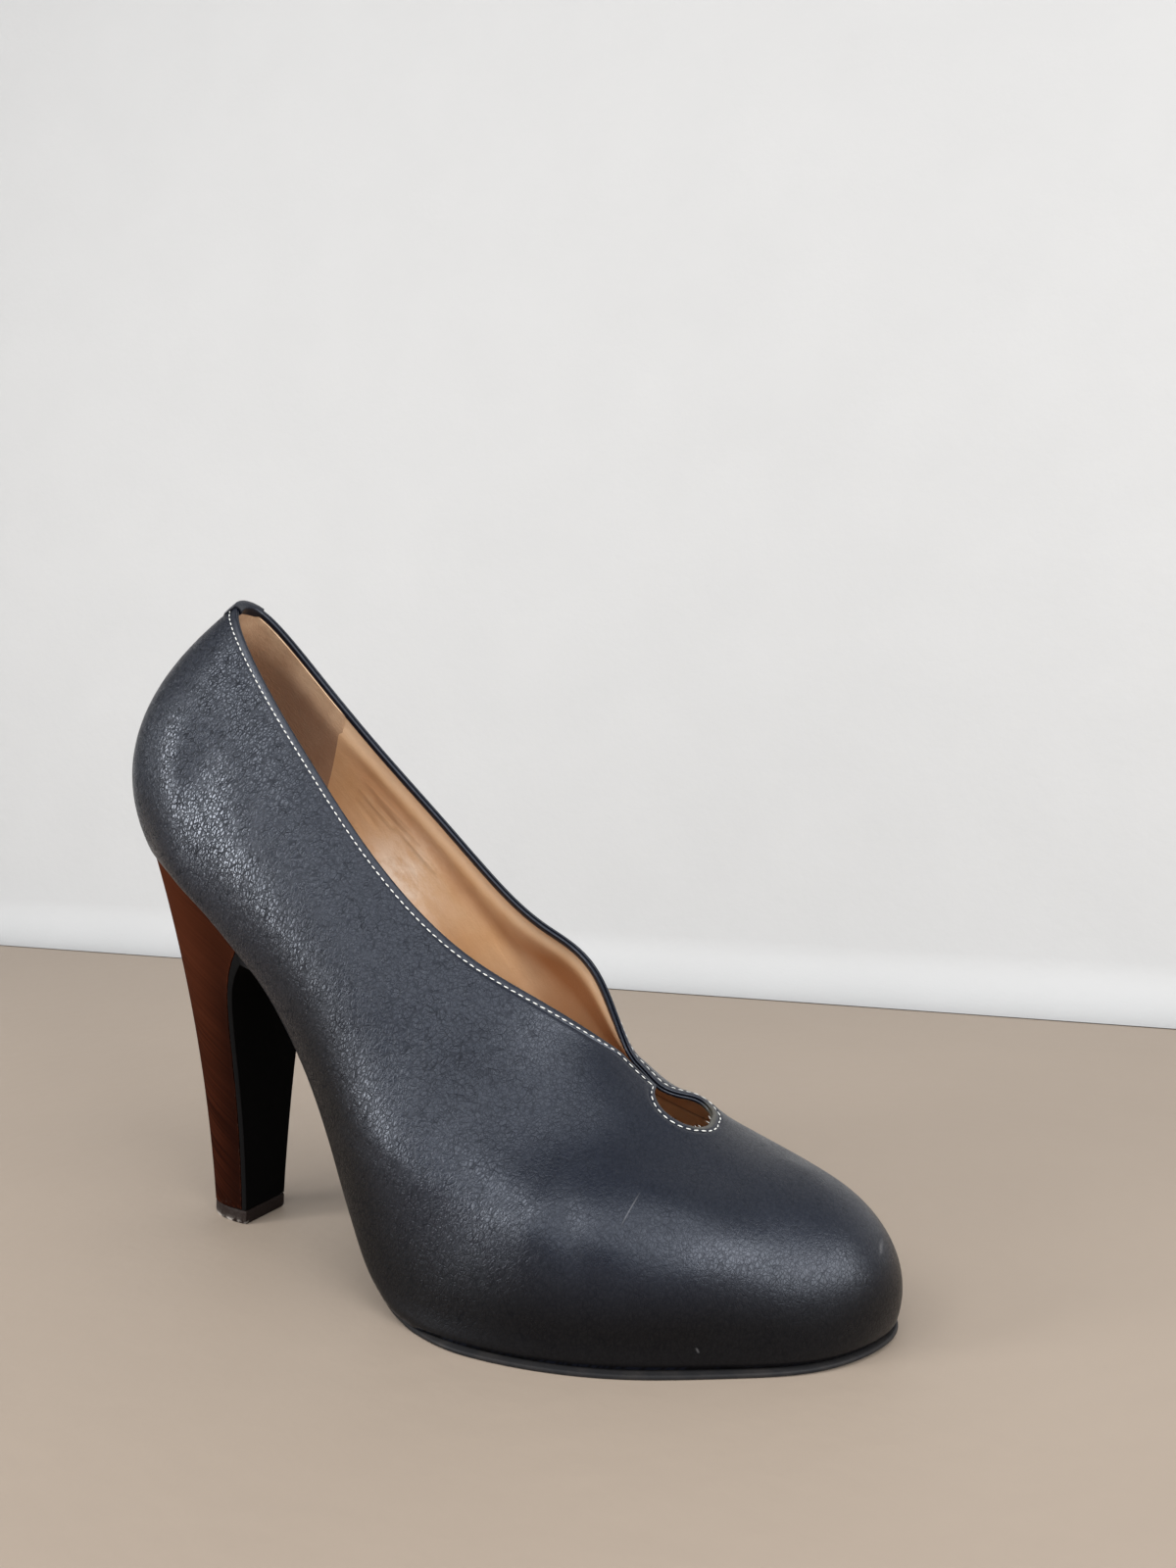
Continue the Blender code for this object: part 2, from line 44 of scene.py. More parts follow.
# the form of the shoe in mm: +X toe, +Y medial, +Z up, tread point at the origin
formTable = {
    # lower edge of the upper in side view: x, z
    "feather": [(-153, 106.4), (-136, 100.0), (-118, 88.4), (-104, 76.8), (-93.6, 67.6), (-81, 51.9),
                (-69.8, 35), (-59.8, 18.9), (-50.8, 6.6), (-42, 2.2), (-34, 1.35), (30, 1.35), (48, 1.55),
                (64, 2.3)],
    "footbed": [(-153, 110.6), (-136, 103.6), (-118, 92.8), (-102, 78.4), (-88, 64), (-75, 47.5), (-62, 31.5),
                (-50, 21.5), (-38, 18.3), (-30, 18), (64, 18)],
    "ridge": [(-20, 78), (0, 57), (7, 51), (14, 47.2), (21, 43.6), (32, 38.6), (43, 35.2)],
    "ridgeY": -2.4,
    "ridgeSwing": 0.08,
    "ridgeX": [1.5, 13, 24, 31, 35, 37, 37.6],
    # lower edge in plan, heel seam to toe tip: x, lateral y, medial y
    "foot": [(-148.2, 0, 0), (-143.8, -12, 11.8), (-130, -20.2, 19.4), (-111, -22, 20.4), (-94, -23.4, 19),
             (-81, -25.4, 17.6), (-68, -29.2, 18.2), (-53, -36.6, 23.4), (-32, -44.4, 32.6), (-8, -45.8, 38),
             (14, -40.6, 38.2), (34, -30.6, 33), (50, -20.4, 24), (58.6, -9.6, 14.6), (62.2, 3, 3)],
    # collar edge: lateral x, y, z, medial x, y, z
    "collar": [(-122.5, 0, 173.2, -122.5, 0, 173.2), (-119.5, -7.5, 168.8, -118.8, 7.5, 169.8),
               (-106, -13.6, 151.4, -105, 13.5, 153), (-86, -17.4, 127.8, -85, 17.6, 130.6),
               (-67, -19.5, 106.6, -66, 20.2, 111.4), (-50, -20, 90.6, -49, 20.4, 95.4),
               (-34, -18.8, 79.3, -33.5, 18.5, 85), (-15.5, -14, 69, -15.3, 13.5, 73.4)],
    # section handles: rise, lateral flare, medial flare, lateral shoulder, medial shoulder, drop
    "handles": [(22, 18.4, 18.4, 21, 21, 24), (22, 16.6, 16.6, 20.5, 20.5, 22),
                (20, 12.6, 12.6, 11.5, 11.5, 19), (17, 12, 11, 9.5, 9, 15), (15, 12, 11, 10.5, 9, 13),
                (15, 11.5, 11, 13, 10, 12), (17, 10, 11, 17, 13, 11), (21, 6.5, 9, 21, 18, 9),
                (26, 3.5, 5, 22.5, 20.5, 0), (26, 2.5, 3, 22.5, 21.5, 0), (24, 3, 3, 23.5, 23, 0),
                (21, 5, 5, 23, 23, 0), (19, 9, 9, 20.5, 20.5, 0), (18.5, 13.6, 13.6, 19.5, 19.5, 0),
                (18, 16, 16, 19.5, 19.5, 0)],
    # raised medial lip of the keyhole: x, y, reach along x, reach along y, height
    "lip": (15.5, 5.0, 5.5, 6.0, 1.9),
    "throatX": 2.0,
    "breastX": -105.5,
    "neckRound": 1.3,
    "neckReach": 4.0,
}
keyhole = {"back": 6.5, "front": 19.9, "neck": 1.3, "lateral": 9.8, "medial": 6.8,
           "lateralSwell": 0.56, "medialSwell": 1.5}
probe = {"along": 0.4, "up": 0.002, "plan": 0.5}  # small steps for slopes
bothWays = (1, -1)  # lateral and medial way round from the heel seam


def unit(vectors):
    return vectors / np.linalg.norm(vectors, axis=-1, keepdims=True)


def mound(a, b, midA, midB, reachA, reachB):
    return np.exp(-((a - midA) / reachA) ** 2 - ((b - midB) / reachB) ** 2)


def halve(low, high, goesUp, rounds):
    for _ in range(rounds):
        mid = 0.5 * (low + high)
        up = goesUp(mid)
        low, high = np.where(up, mid, low), np.where(up, high, mid)
    return low


def smoothThrough(rows, x):
    xs, zs = np.array(rows, float).T
    steps = np.diff(xs)
    falls = np.diff(zs) / steps
    slopes = np.concatenate(([falls[0]], np.zeros(len(xs) - 2), [falls[-1]]))
    for i in range(1, len(xs) - 1):
        if falls[i - 1] * falls[i] > 0:
            before = 2 * steps[i] + steps[i - 1]
            after = steps[i] + 2 * steps[i - 1]
            slopes[i] = (before + after) / (before / falls[i - 1] + after / falls[i])
    x = np.clip(x, xs[0], xs[-1])
    i = np.clip(np.searchsorted(xs, x, side="right") - 1, 0, len(steps) - 1)
    t = (x - xs[i]) / steps[i]
    start = (1 + 2 * t) * (1 - t) ** 2 * zs[i] + t * (1 - t) ** 2 * steps[i] * slopes[i]
    return start + t * t * (3 - 2 * t) * zs[i + 1] - t * t * (1 - t) * steps[i] * slopes[i + 1]


def ridgeY(x):
    return formTable["ridgeY"] + formTable["ridgeSwing"] * x


def ridgeAt(x):
    return np.stack((x, ridgeY(x), smoothThrough(formTable["ridge"], x)), -1)


def fallOf(rows, x):
    return smoothThrough(rows, x + probe["plan"]) - smoothThrough(rows, x - probe["plan"])


def closedSpline(knots, period, values):
    count = len(knots)
    steps = np.diff(np.append(knots, knots[0] + period))
    matrix = np.zeros((count, count))
    right = np.zeros(values.shape)
    for i in range(count):
        before, after = (i - 1) % count, (i + 1) % count
        matrix[i, before] += steps[before]
        matrix[i, i] += 2 * (steps[before] + steps[i])
        matrix[i, after] += steps[i]
        right[i] = 6 * ((values[after] - values[i]) / steps[i] - (values[i] - values[before]) / steps[before])
    bends = np.linalg.solve(matrix, right)

    def at(s):
        s = np.mod(s, period)
        i = np.clip(np.searchsorted(knots, s, side="right") - 1, 0, count - 1)
        j = (i + 1) % count
        step = steps[i][:, None]
        b = (s - knots[i])[:, None] / step
        a = 1 - b
        curve = ((a ** 3 - a) * bends[i] + (b ** 3 - b) * bends[j]) * step ** 2 / 6
        return a * values[i] + b * values[j] + curve

    return at


def layForm():
    foot = np.array(formTable["foot"], float)
    shape = np.array(formTable["handles"], float)
    collar = np.array(formTable["collar"], float)
    crest = ridgeAt(np.array(formTable["ridgeX"], float))
    latTop = np.vstack((collar[:, :3], crest))
    medTop = np.vstack((collar[:, 3:], crest))
    lateral = np.column_stack((foot[:, [0, 1]], latTop, shape[:, [0, 1, 3, 5]]))
    medial = np.column_stack((foot[:, [0, 2]], medTop, shape[:, [0, 2, 4, 5]]))
    rises = np.diff(smoothThrough(formTable["feather"], foot[:, 0]))
    runs = np.diff(foot[:, 0])
    latSteps = np.sqrt(runs ** 2 + rises ** 2 + np.diff(foot[:, 1]) ** 2)
    medSteps = np.sqrt(runs ** 2 + rises ** 2 + np.diff(foot[:, 2]) ** 2)
    knots = np.concatenate(([0.0], np.cumsum(0.5 * (latSteps + medSteps))))
    around = 2 * knots[-1]
    rows = np.concatenate((lateral, medial[-2:0:-1]))
    return knots, around, closedSpline(np.concatenate((knots, around - knots[-2:0:-1])), around, rows)


knots, girth, formAt = layForm()
toeS = knots[-1]
throatS = knots[len(formTable["collar"])]


def fromHeel(s):
    turn = np.mod(s, girth)
    return np.minimum(turn, girth - turn)


def sideOf(s):
    return np.where(np.mod(s, girth) <= toeS, -1.0, 1.0)


def planOut(s):
    run = unit(formAt(s + probe["plan"])[:, :2] - formAt(s - probe["plan"])[:, :2])
    return np.column_stack((run[:, 1], -run[:, 0], np.zeros(len(run))))


def footAt(s):
    row = formAt(s)
    return np.column_stack((row[:, 0], row[:, 1], smoothThrough(formTable["feather"], row[:, 0])))


def handlePoints(s):
    row = formAt(s)
    out = planOut(s)
    foot = footAt(s)
    rise, flare, shoulder, drop = (row[:, k:k + 1] for k in (5, 6, 7, 8))
    closed = fromHeel(s) >= throatS - 1e-9
    top = np.where(closed[:, None], ridgeAt(row[:, 2]), row[:, 2:5])
    throatFall = fallOf(formTable["ridge"], np.array([formTable["ridgeX"][0]]))[0]
    fall = np.where(closed, fallOf(formTable["ridge"], row[:, 2]), throatFall * (fromHeel(s) / throatS) ** 8)
    lean = unit((top - foot) * (1, 0, 1))
    low = foot + lean * rise + out * flare
    high = top + out * shoulder - lean * drop
    high[:, 2] += out[:, 0] * fall * shoulder[:, 0]
    return foot, low, high, top


def sectionAt(s, v):
    p0, p1, p2, p3 = (p[:, None, :] for p in handlePoints(s))
    v = v[:, :, None]
    w = 1 - v
    points = w ** 3 * p0 + 3 * w * w * v * p1 + 3 * w * v * v * p2 + v ** 3 * p3
    x, y, reachX, reachY, height = formTable["lip"]
    points[..., 2] += height * mound(points[..., 0], points[..., 1], x, y, reachX, reachY)
    return points


def outwardAt(s, v):
    v = np.clip(v, 0.002, 0.985)
    alongS = sectionAt(s + probe["along"], v) - sectionAt(s - probe["along"], v)
    alongV = sectionAt(s, v + probe["up"]) - sectionAt(s, v - probe["up"])
    return unit(np.cross(alongS, alongV))


def sectionLength(s):
    points = sectionAt(s, np.tile(np.linspace(0, 1, 33), (len(s), 1)))
    return np.linalg.norm(np.diff(points, axis=1), axis=2).sum(axis=1)


def halfOpening(x, side, grow):
    half = np.where(side < 0, keyhole["lateral"], keyhole["medial"]) + grow
    neck = keyhole["neck"] + grow
    swell = np.where(side < 0, keyhole["lateralSwell"], keyhole["medialSwell"])
    widest = swell / (swell + 0.5)
    full = widest ** swell * (1 - widest) ** 0.5
    u = np.clip((x - keyhole["back"]) / (keyhole["front"] + grow - keyhole["back"]), 0, 1)
    return (neck * (1 - u) + (half - neck) * u ** swell / full) * (1 - u) ** 0.5


def edgeAt(s, grow=0.0):
    ones = np.ones((len(s), 1))
    side = sideOf(s)

    def apart(v):
        p = sectionAt(s, v[:, None])[:, 0]
        return side * (p[:, 1] - ridgeY(p[:, 0]))

    topX = sectionAt(s, ones)[:, 0, 0]
    collar = apart(ones[:, 0])
    soft = formTable["neckRound"] * np.exp(-((topX - formTable["throatX"]) / formTable["neckReach"]) ** 2)
    behind = topX < formTable["throatX"] - 14

    def solve(more):
        gap = halfOpening(topX, side, more)
        wanted = 0.5 * (collar + gap + np.sqrt((collar - gap) ** 2 + 4 * soft ** 2))
        met = halve(np.full(len(s), 0.5), np.ones(len(s)), lambda v: apart(v) >= wanted, 34)
        return np.where(behind | (topX >= keyhole["front"] + more - 1e-6), 1.0, met)

    plain = solve(0.0)
    if grow == 0.0:
        return plain
    wide = solve(grow)
    inset = plain - grow / sectionLength(s)
    return np.where(fromHeel(s) <= keyholeEnd(0.0), np.minimum(inset, wide), wide)


def stationWhere(x, column, start):
    return halve(np.array([start]), np.array([toeS]), lambda s: formAt(s)[:, column] < x, 50)[0]


def keyholeEnd(grow):
    return stationWhere(keyhole["front"] + grow, 2, throatS)


breastS = stationWhere(formTable["breastX"], 0, 0.0)
print("form laid out: %.0f mm from heel seam to toe tip along the edge" % toeS)


# mesh helpers
weldReach, sliver = 0.000012, 0.000004


def laySheet(bm, points, **paints):
    across, up = points.shape[0] - 1, points.shape[1] - 1
    floats = bm.verts.layers.float
    layers = [(floats.get(name) or floats.new(name), np.broadcast_to(value, points.shape[:2]))
              for name, value in paints.items()]
    made = bmesh.ops.create_grid(bm, x_segments=across, y_segments=up, size=1.0)
    for vert in made["verts"]:
        i = int(round((vert.co.x + 1) * 0.5 * across))
        j = int(round((vert.co.y + 1) * 0.5 * up))
        vert.co = points[i, j] * mm
        for layer, values in layers:
            vert[layer] = values[i, j]


def closeRings(rings):
    return np.concatenate((rings, rings[:, :1]), axis=1)


def closeEnds(bm):
    bmesh.ops.remove_doubles(bm, verts=bm.verts[:], dist=weldReach)
    bmesh.ops.holes_fill(bm, edges=[edge for edge in bm.edges if edge.is_boundary], sides=0)


def makeObject(bm, name, material):
    mesh = bpy.data.meshes.new(name)
    bm.to_mesh(mesh)
    bm.free()
    mesh.materials.append(material)
    made = bpy.data.objects.new(name, mesh)
    bpy.context.scene.collection.objects.link(made)
    return made


def finishPiece(bm, name, material, replaced=(), sharp=50.0):
    bmesh.ops.remove_doubles(bm, verts=bm.verts[:], dist=weldReach)
    bmesh.ops.dissolve_degenerate(bm, edges=bm.edges[:], dist=sliver)
    bmesh.ops.recalc_face_normals(bm, faces=bm.faces[:])
    if bm.calc_volume(signed=True) < 0:
        bmesh.ops.reverse_faces(bm, faces=bm.faces[:])
    piece = makeObject(bm, name, material)
    piece.data.shade_smooth()
    piece.data.set_sharp_from_angle(angle=radians(sharp))
    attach(piece, "root")
    for node in replaced:
        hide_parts(node)
    print("piece %s: %d faces" % (name, len(piece.data.polygons)))


def spaced(spans):
    parts = [np.arange(count) / count * (end - start) + start for start, end, count in spans]
    return np.concatenate(parts + [[spans[-1][1]]])


def closingIn(end, reach, count):
    return end - reach * (1 - np.arange(count) / count) ** 2


def rowsBetween(low, top, rows):
    return low[:, None] + (top - low)[:, None] * (np.arange(rows + 1) / rows)


def weldSides(lat, med, closedFrom):
    for spot in (np.s_[0], np.s_[-1], np.s_[closedFrom:, -1]):
        middle = 0.5 * (lat[spot] + med[spot])
        lat[spot] = middle
        med[spot] = middle


def bump(distance, width):
    return np.exp(-(distance / width) ** 2)


def fromSegment(points, x0, z0, x1, z1):
    p = points[..., [0, 2]]
    a, b = np.array((x0, z0)), np.array((x1, z1))
    t = np.clip(((p - a) @ (b - a)) / ((b - a) @ (b - a)), 0, 1)
    return np.linalg.norm(p - (a + t[..., None] * (b - a)), axis=-1), t


def easeStep(x, start, end):
    t = np.clip((x - start) / (end - start), 0, 1)
    return t * t * (3 - 2 * t)


def window(x, start, full, fade, end):
    return easeStep(x, start, full) * (1 - easeStep(x, fade, end))


# material helpers
def fillInputs(tree, node, inputs):
    for key, value in inputs.items():
        if isinstance(value, bpy.types.NodeSocket):
            tree.links.new(value, node.inputs[key])
        else:
            node.inputs[key].default_value = value


def addNode(tree, kind, inputs, **settings):
    node = tree.nodes.new(kind)
    for key, value in settings.items():
        setattr(node, key, value)
    fillInputs(tree, node, inputs)
    return node


def stretchSpace(tree, vector, turn, scale):
    turned = addNode(tree, "ShaderNodeMapping", {"Vector": vector, "Rotation": turn}).outputs["Vector"]
    return addNode(tree, "ShaderNodeMapping", {"Vector": turned, "Scale": scale}).outputs["Vector"]


def objectSpace(tree, turn=(0, 0, 0), scale=(1, 1, 1)):
    return stretchSpace(tree, addNode(tree, "ShaderNodeTexCoord", {}).outputs["Object"], turn, scale)


def newMaterial(name):
    material = bpy.data.materials.new(name)
    material.use_nodes = True
    tree = material.node_tree
    return material, tree, tree.nodes["Principled BSDF"], objectSpace(tree)


def noiseFrom(tree, vector, scale, detail=2.0, rough=0.5):
    inputs = {"Vector": vector, "Scale": scale, "Detail": detail, "Roughness": rough}
    return addNode(tree, "ShaderNodeTexNoise", inputs).outputs["Fac"]


def remap(tree, value, fromLow, fromHigh, toLow, toHigh):
    inputs = {"Value": value, "From Min": fromLow, "From Max": fromHigh, "To Min": toLow, "To Max": toHigh}
    return addNode(tree, "ShaderNodeMapRange", inputs).outputs["Result"]


def mathNode(tree, operation, first, second):
    return addNode(tree, "ShaderNodeMath", {0: first, 1: second}, operation=operation).outputs["Value"]


def times(tree, first, second):
    return mathNode(tree, "MULTIPLY", first, second)


def vectorNode(tree, operation, first, second):
    return addNode(tree, "ShaderNodeVectorMath", {0: first, 1: second}, operation=operation).outputs["Vector"]


def mixColour(tree, amount, first, second):
    inputs = {0: amount}
    for socket, value in ((6, first), (7, second)):  # colour inputs of the Mix node
        inputs[socket] = value if isinstance(value, bpy.types.NodeSocket) else (*value, 1.0)
    return addNode(tree, "ShaderNodeMix", inputs, data_type="RGBA").outputs[2]


def paintOf(tree, name):
    return addNode(tree, "ShaderNodeAttribute", {}, attribute_name=name).outputs["Fac"]


def bumpOf(tree, height, strength, distance):
    inputs = {"Height": height, "Strength": strength, "Distance": distance}
    return addNode(tree, "ShaderNodeBump", inputs).outputs["Normal"]


# black leather of the upper
leatherLook = {
    # low is the tone of the painted shade low on the platform wall by the sole
    "dark": (0.0017, 0.0026, 0.006), "light": (0.0042, 0.006, 0.0124), "low": (0.0026, 0.0024, 0.0027),
    # crack is the dark of the grain's valleys, partly painted shade in them
    "crack": (0.0006, 0.0008, 0.0016), "worn": (0.13, 0.13, 0.135), "raw": (0.06, 0.056, 0.044),
    # noise scales, the larger the finer
    "pebbles": 760.0, "fine": 1400.0, "pores": 1150.0, "clouds": 38.0, "breaks": 330.0, "glossPatches": 130.0,
    # pull of the grain: wobble scale, wobble reach in metres, turn, stretch
    "pull": (420.0, 0.0008, -22, 0.55),
    "relief": 0.00005, "poreRelief": 0.75, "rough": (0.2, 0.29), "tint": (0.82, 0.88, 1.0),
    # specular level of the skin and in a crack, its share under the painted shade low on the platform, its
    # play with the pores
    "shine": 0.48, "crackShine": 0.06, "paintedLowShadeShine": 0.42, "poreShine": (0.86, 1.14),
    # lateral scratches in side view: x0, z0, x1, z1, strength, half width
    "scratches": [(13.6, 36.2, 11.8, 30.6, 0.5, 0.2), (27.4, 6.6, 28.0, 5.2, 0.4, 0.3),
                  (59.4, 22.6, 60.1, 20.4, 0.35, 0.3)],
}


def scratchMask(tree, plain, x0, z0, x1, z1, width):
    long = hypot(x1 - x0, z1 - z0) * mm
    moved = vectorNode(tree, "SUBTRACT", plain, (x0 * mm, 0.0, z0 * mm))
    turned = stretchSpace(tree, moved, (0.0, atan2(z1 - z0, x1 - x0), 0.0), (1, 1, 1))
    local = addNode(tree, "ShaderNodeSeparateXYZ", {"Vector": turned}).outputs
    across = remap(tree, mathNode(tree, "ABSOLUTE", local["Z"], 0.0), 0.0, width * mm, 1.0, 0.0)
    middle = mathNode(tree, "SUBTRACT", local["X"], 0.5 * long)
    along = remap(tree, mathNode(tree, "ABSOLUTE", middle, 0.0), 0.2 * long, 0.5 * long, 1.0, 0.0)
    near = mathNode(tree, "LESS_THAN", local["Y"], 0.0)
    return times(tree, times(tree, across, along), near)


def makeLeather():
    look = leatherLook
    material, tree, shader, plain = newMaterial("black_leather_grained")
    wobbleScale, reach, turn, stretch = look["pull"]
    wobble = addNode(tree, "ShaderNodeTexNoise", {"Vector": plain, "Scale": wobbleScale, "Detail": 1.0})
    shift = vectorNode(tree, "MULTIPLY", wobble.outputs["Color"], (reach, reach, reach))
    bent = vectorNode(tree, "ADD", plain, shift)
    stretched = stretchSpace(tree, bent, (0.0, radians(turn), 0.0), (1.0, 1.0, stretch))
    cells, fine = (addNode(tree, "ShaderNodeTexVoronoi", {"Vector": stretched, "Scale": look[size]},
                           feature="DISTANCE_TO_EDGE").outputs["Distance"] for size in ("pebbles", "fine"))
    pores = noiseFrom(tree, plain, look["pores"], 2.0, 0.6)
    grain, paintedLowShade, wear = (paintOf(tree, name) for name in ("grain", "paintedLowShade", "wear"))
    broken = remap(tree, noiseFrom(tree, plain, look["breaks"], 3.0, 0.6), 0.36, 0.62, 0.25, 1.0)
    crack = times(tree, remap(tree, cells, 0.0, 0.1, 1.0, 0.0), broken)
    hair = times(tree, remap(tree, fine, 0.0, 0.13, 1.0, 0.0), 0.7)
    crack = times(tree, mathNode(tree, "MAXIMUM", crack, hair), grain)
    dome = times(tree, remap(tree, cells, 0.0, 0.45, 0.0, 0.5), grain)
    height = mathNode(tree, "ADD", times(tree, pores, look["poreRelief"]), dome)
    height = mathNode(tree, "SUBTRACT", height, crack)
    tone = mixColour(tree, noiseFrom(tree, plain, look["clouds"], 4.0, 0.6), look["dark"], look["light"])
    # painted shade: darker, less blue tone low on the platform wall by the sole
    tone = mixColour(tree, paintedLowShade, tone, look["low"])
    # dark crack tone: the grain's darker valleys, partly painted shade in them
    tone = mixColour(tree, crack, tone, look["crack"])
    for *line, strength, width in look["scratches"]:
        mask = scratchMask(tree, plain, *line, width)
        wear = mathNode(tree, "MAXIMUM", wear, times(tree, mask, strength))
    # wear: scratches and a paler collar edge, plus a painted highlight along the lower edge over the heel
    # seat
    tone = mixColour(tree, wear, tone, look["worn"])
    tone = mixColour(tree, paintOf(tree, "rawEdge"), tone, look["raw"])
    gloss = remap(tree, noiseFrom(tree, plain, look["glossPatches"], 3.0, 0.6), 0.3, 0.7, *look["rough"])
    dull = mathNode(tree, "ADD", times(tree, crack, 0.35), remap(tree, grain, 0.3, 1.0, 0.07, 0.0))
    # lower specular in the cracks, partly painted shade
    shine = remap(tree, crack, 0.0, 1.0, look["shine"], look["crackShine"])
    # less specular under the same painted shade
    shine = times(tree, shine, remap(tree, paintedLowShade, 0.0, 1.0, 1.0, look["paintedLowShadeShine"]))
    shine = times(tree, shine, remap(tree, pores, 0.34, 0.66, *look["poreShine"]))
    shader.inputs["Specular IOR Level"].default_value = look["shine"]  # kept where the link is dropped
    fillInputs(tree, shader, {"Base Color": tone, "Roughness": mathNode(tree, "ADD", gloss, dull),
                              "Normal": bumpOf(tree, height, 1.0, look["relief"]),
                              "Specular IOR Level": shine, "Specular Tint": (*look["tint"], 1.0)})
    return material


# upper: outer skin, rolled collar edge, inner band and the hidden inside of the leather
upperSet = {
    "step": 1.0,
    "fineReach": 5.0,
    "rows": 62,
    "edgeRows": 12,
    "edgeDepth": 4.0,
    "tuck": 0.5,
    "stitchFrom": 1.3,
    # fullness over the heel seat on the lateral side: height above the edge, reach, swell
    "seat": (5.0, 8.5, 1.5),
    "seatSpan": (-138, -120, -120, -72),
    # lateral creases in side view: x0, z0, x1, z1, depth, width
    "troughs": [(-1.8, 32, 1.6, 23, -0.5, 3.0), (-66, 43, -40, 33, -0.16, 1.6),
                (-15, 44, -9.5, 35, -0.12, 4.5)],
    # lateral swells and dents: x, z, reach along x, reach along z, height
    "swells": [(-6.4, 28, 6.0, 5, 0.35), (7.6, 26.4, 5.5, 5, 0.25), (-115, 126.5, 7.5, 11, -0.8),
               (-125, 124, 6, 14, 0.3), (-34, 37, 13, 8, 0.15)],
    # upright lateral wall of the covered platform: foot height, shoulder height, rise to the back,
    # fullness, pinch above the sole
    "platformWall": (5.0, 29.0, 0.36, 2.5, -0.6),
    "wallSpan": (-84, -20, 22, 46),
    # firm shoulder over that wall: start, height, rise to the back, fullness, fall above
    "shoulder": (12.0, 26.5, 0.24, 1.9, 17.0),
    "shoulderSpan": (-74, -26, 6, 26),
    # both rise behind an x over a length, and come in between two distances from the middle
    "riseFrom": (-8, 45),
    "outFrom": (14, 30),
    # where the paints fade along x
    "counterFade": (-118, -62),
    "vampFade": (-45, 15),
    "paintedLowShadeFade": (-104, -62),
}
# rolled edge, from the skin inward: across, deep
rimProfile = [(0.26, -0.05), (0.46, -0.22), (0.5, -0.42), (0.4, -0.62), (0.1, -0.74), (-0.05, -0.8),
              (0.12, -0.86), (0.36, -0.95), (0.44, -1.14), (0.42, -1.4), (0.28, -1.62), (0.0, -1.78),
              (-0.4, -1.86), (-0.8, -1.9), (-1.05, -1.88), (-1.16, -1.76), (-1.18, -1.4)]


def lateralCreases(points):
    x, y, z = points[..., 0], points[..., 1], points[..., 2]
    lift = np.zeros(x.shape)
    for *line, depth, width in upperSet["troughs"]:
        gap, t = fromSegment(points, *line)
        lift += depth * bump(gap, width) * (0.35 + 0.65 * np.sin(pi * np.clip(t, 0.03, 0.97)))
    for *place, height in upperSet["swells"]:
        lift += height * mound(x, z, *place)
    riseX, riseLength = upperSet["riseFrom"]
    behind = np.clip(riseX - x, 0, riseLength)
    outer = easeStep(-y, *upperSet["outFrom"])
    low, high, rise, full, pinch = upperSet["platformWall"]
    high = high + rise * behind
    swell = window(z, low, high, high + 1, high + 20)
    lift += window(x, *upperSet["wallSpan"]) * (full * swell + pinch * bump(z - 6, 5)) * outer
    start, top, rise, full, fall = upperSet["shoulder"]
    top = top + rise * behind
    span = window(x, *upperSet["shoulderSpan"])
    for shift in (-1.6, 0.0, 1.6):  # three copies soften the ledge
        ramp = np.clip((z + shift - start) / (top - start), 0, 1) ** 1.6
        ledge = np.where(z + shift < top, ramp, 1 - easeStep(z + shift, top, top + fall))
        lift += span * full * ledge / 3 * outer
    return np.where(y < 2, lift, 0.0)


def upperStations():
    end = keyholeEnd(0.0)
    step, fine = upperSet["step"], upperSet["fineReach"]
    cluster = closingIn(end, fine, 18)
    first = spaced([(0, throatS, int(throatS / step)),
                    (throatS, end - fine, int((end - fine - throatS) / (0.7 * step)))])[:-1]
    front = spaced([(end, end + 6, 10), (end + 6, toeS, int((toeS - end - 6) / step))])
    return np.concatenate((first, cluster, front)), len(first) + len(cluster)


def rowsToEdge(edges, lengths):
    rows, edgeRows = upperSet["rows"], upperSet["edgeRows"]
    split = (1 - upperSet["edgeDepth"] / (lengths * edges))[:, None]
    lower = split * (np.arange(rows) / rows)
    upper = split + (1 - split) * (np.arange(edgeRows + 1) / edgeRows)
    return edges[:, None] * np.concatenate((lower, upper), axis=1)


def rimLoop(lat, med, last):
    return np.concatenate((lat[:last + 1], med[last - 1:0:-1]))


def rimTree(points):
    dense = np.concatenate([points + (np.roll(points, -1, axis=0) - points) * k / 4 for k in range(4)])
    tree = KDTree(len(dense))
    for k, p in enumerate(dense):
        tree.insert(p, k)
    tree.balance()
    return tree


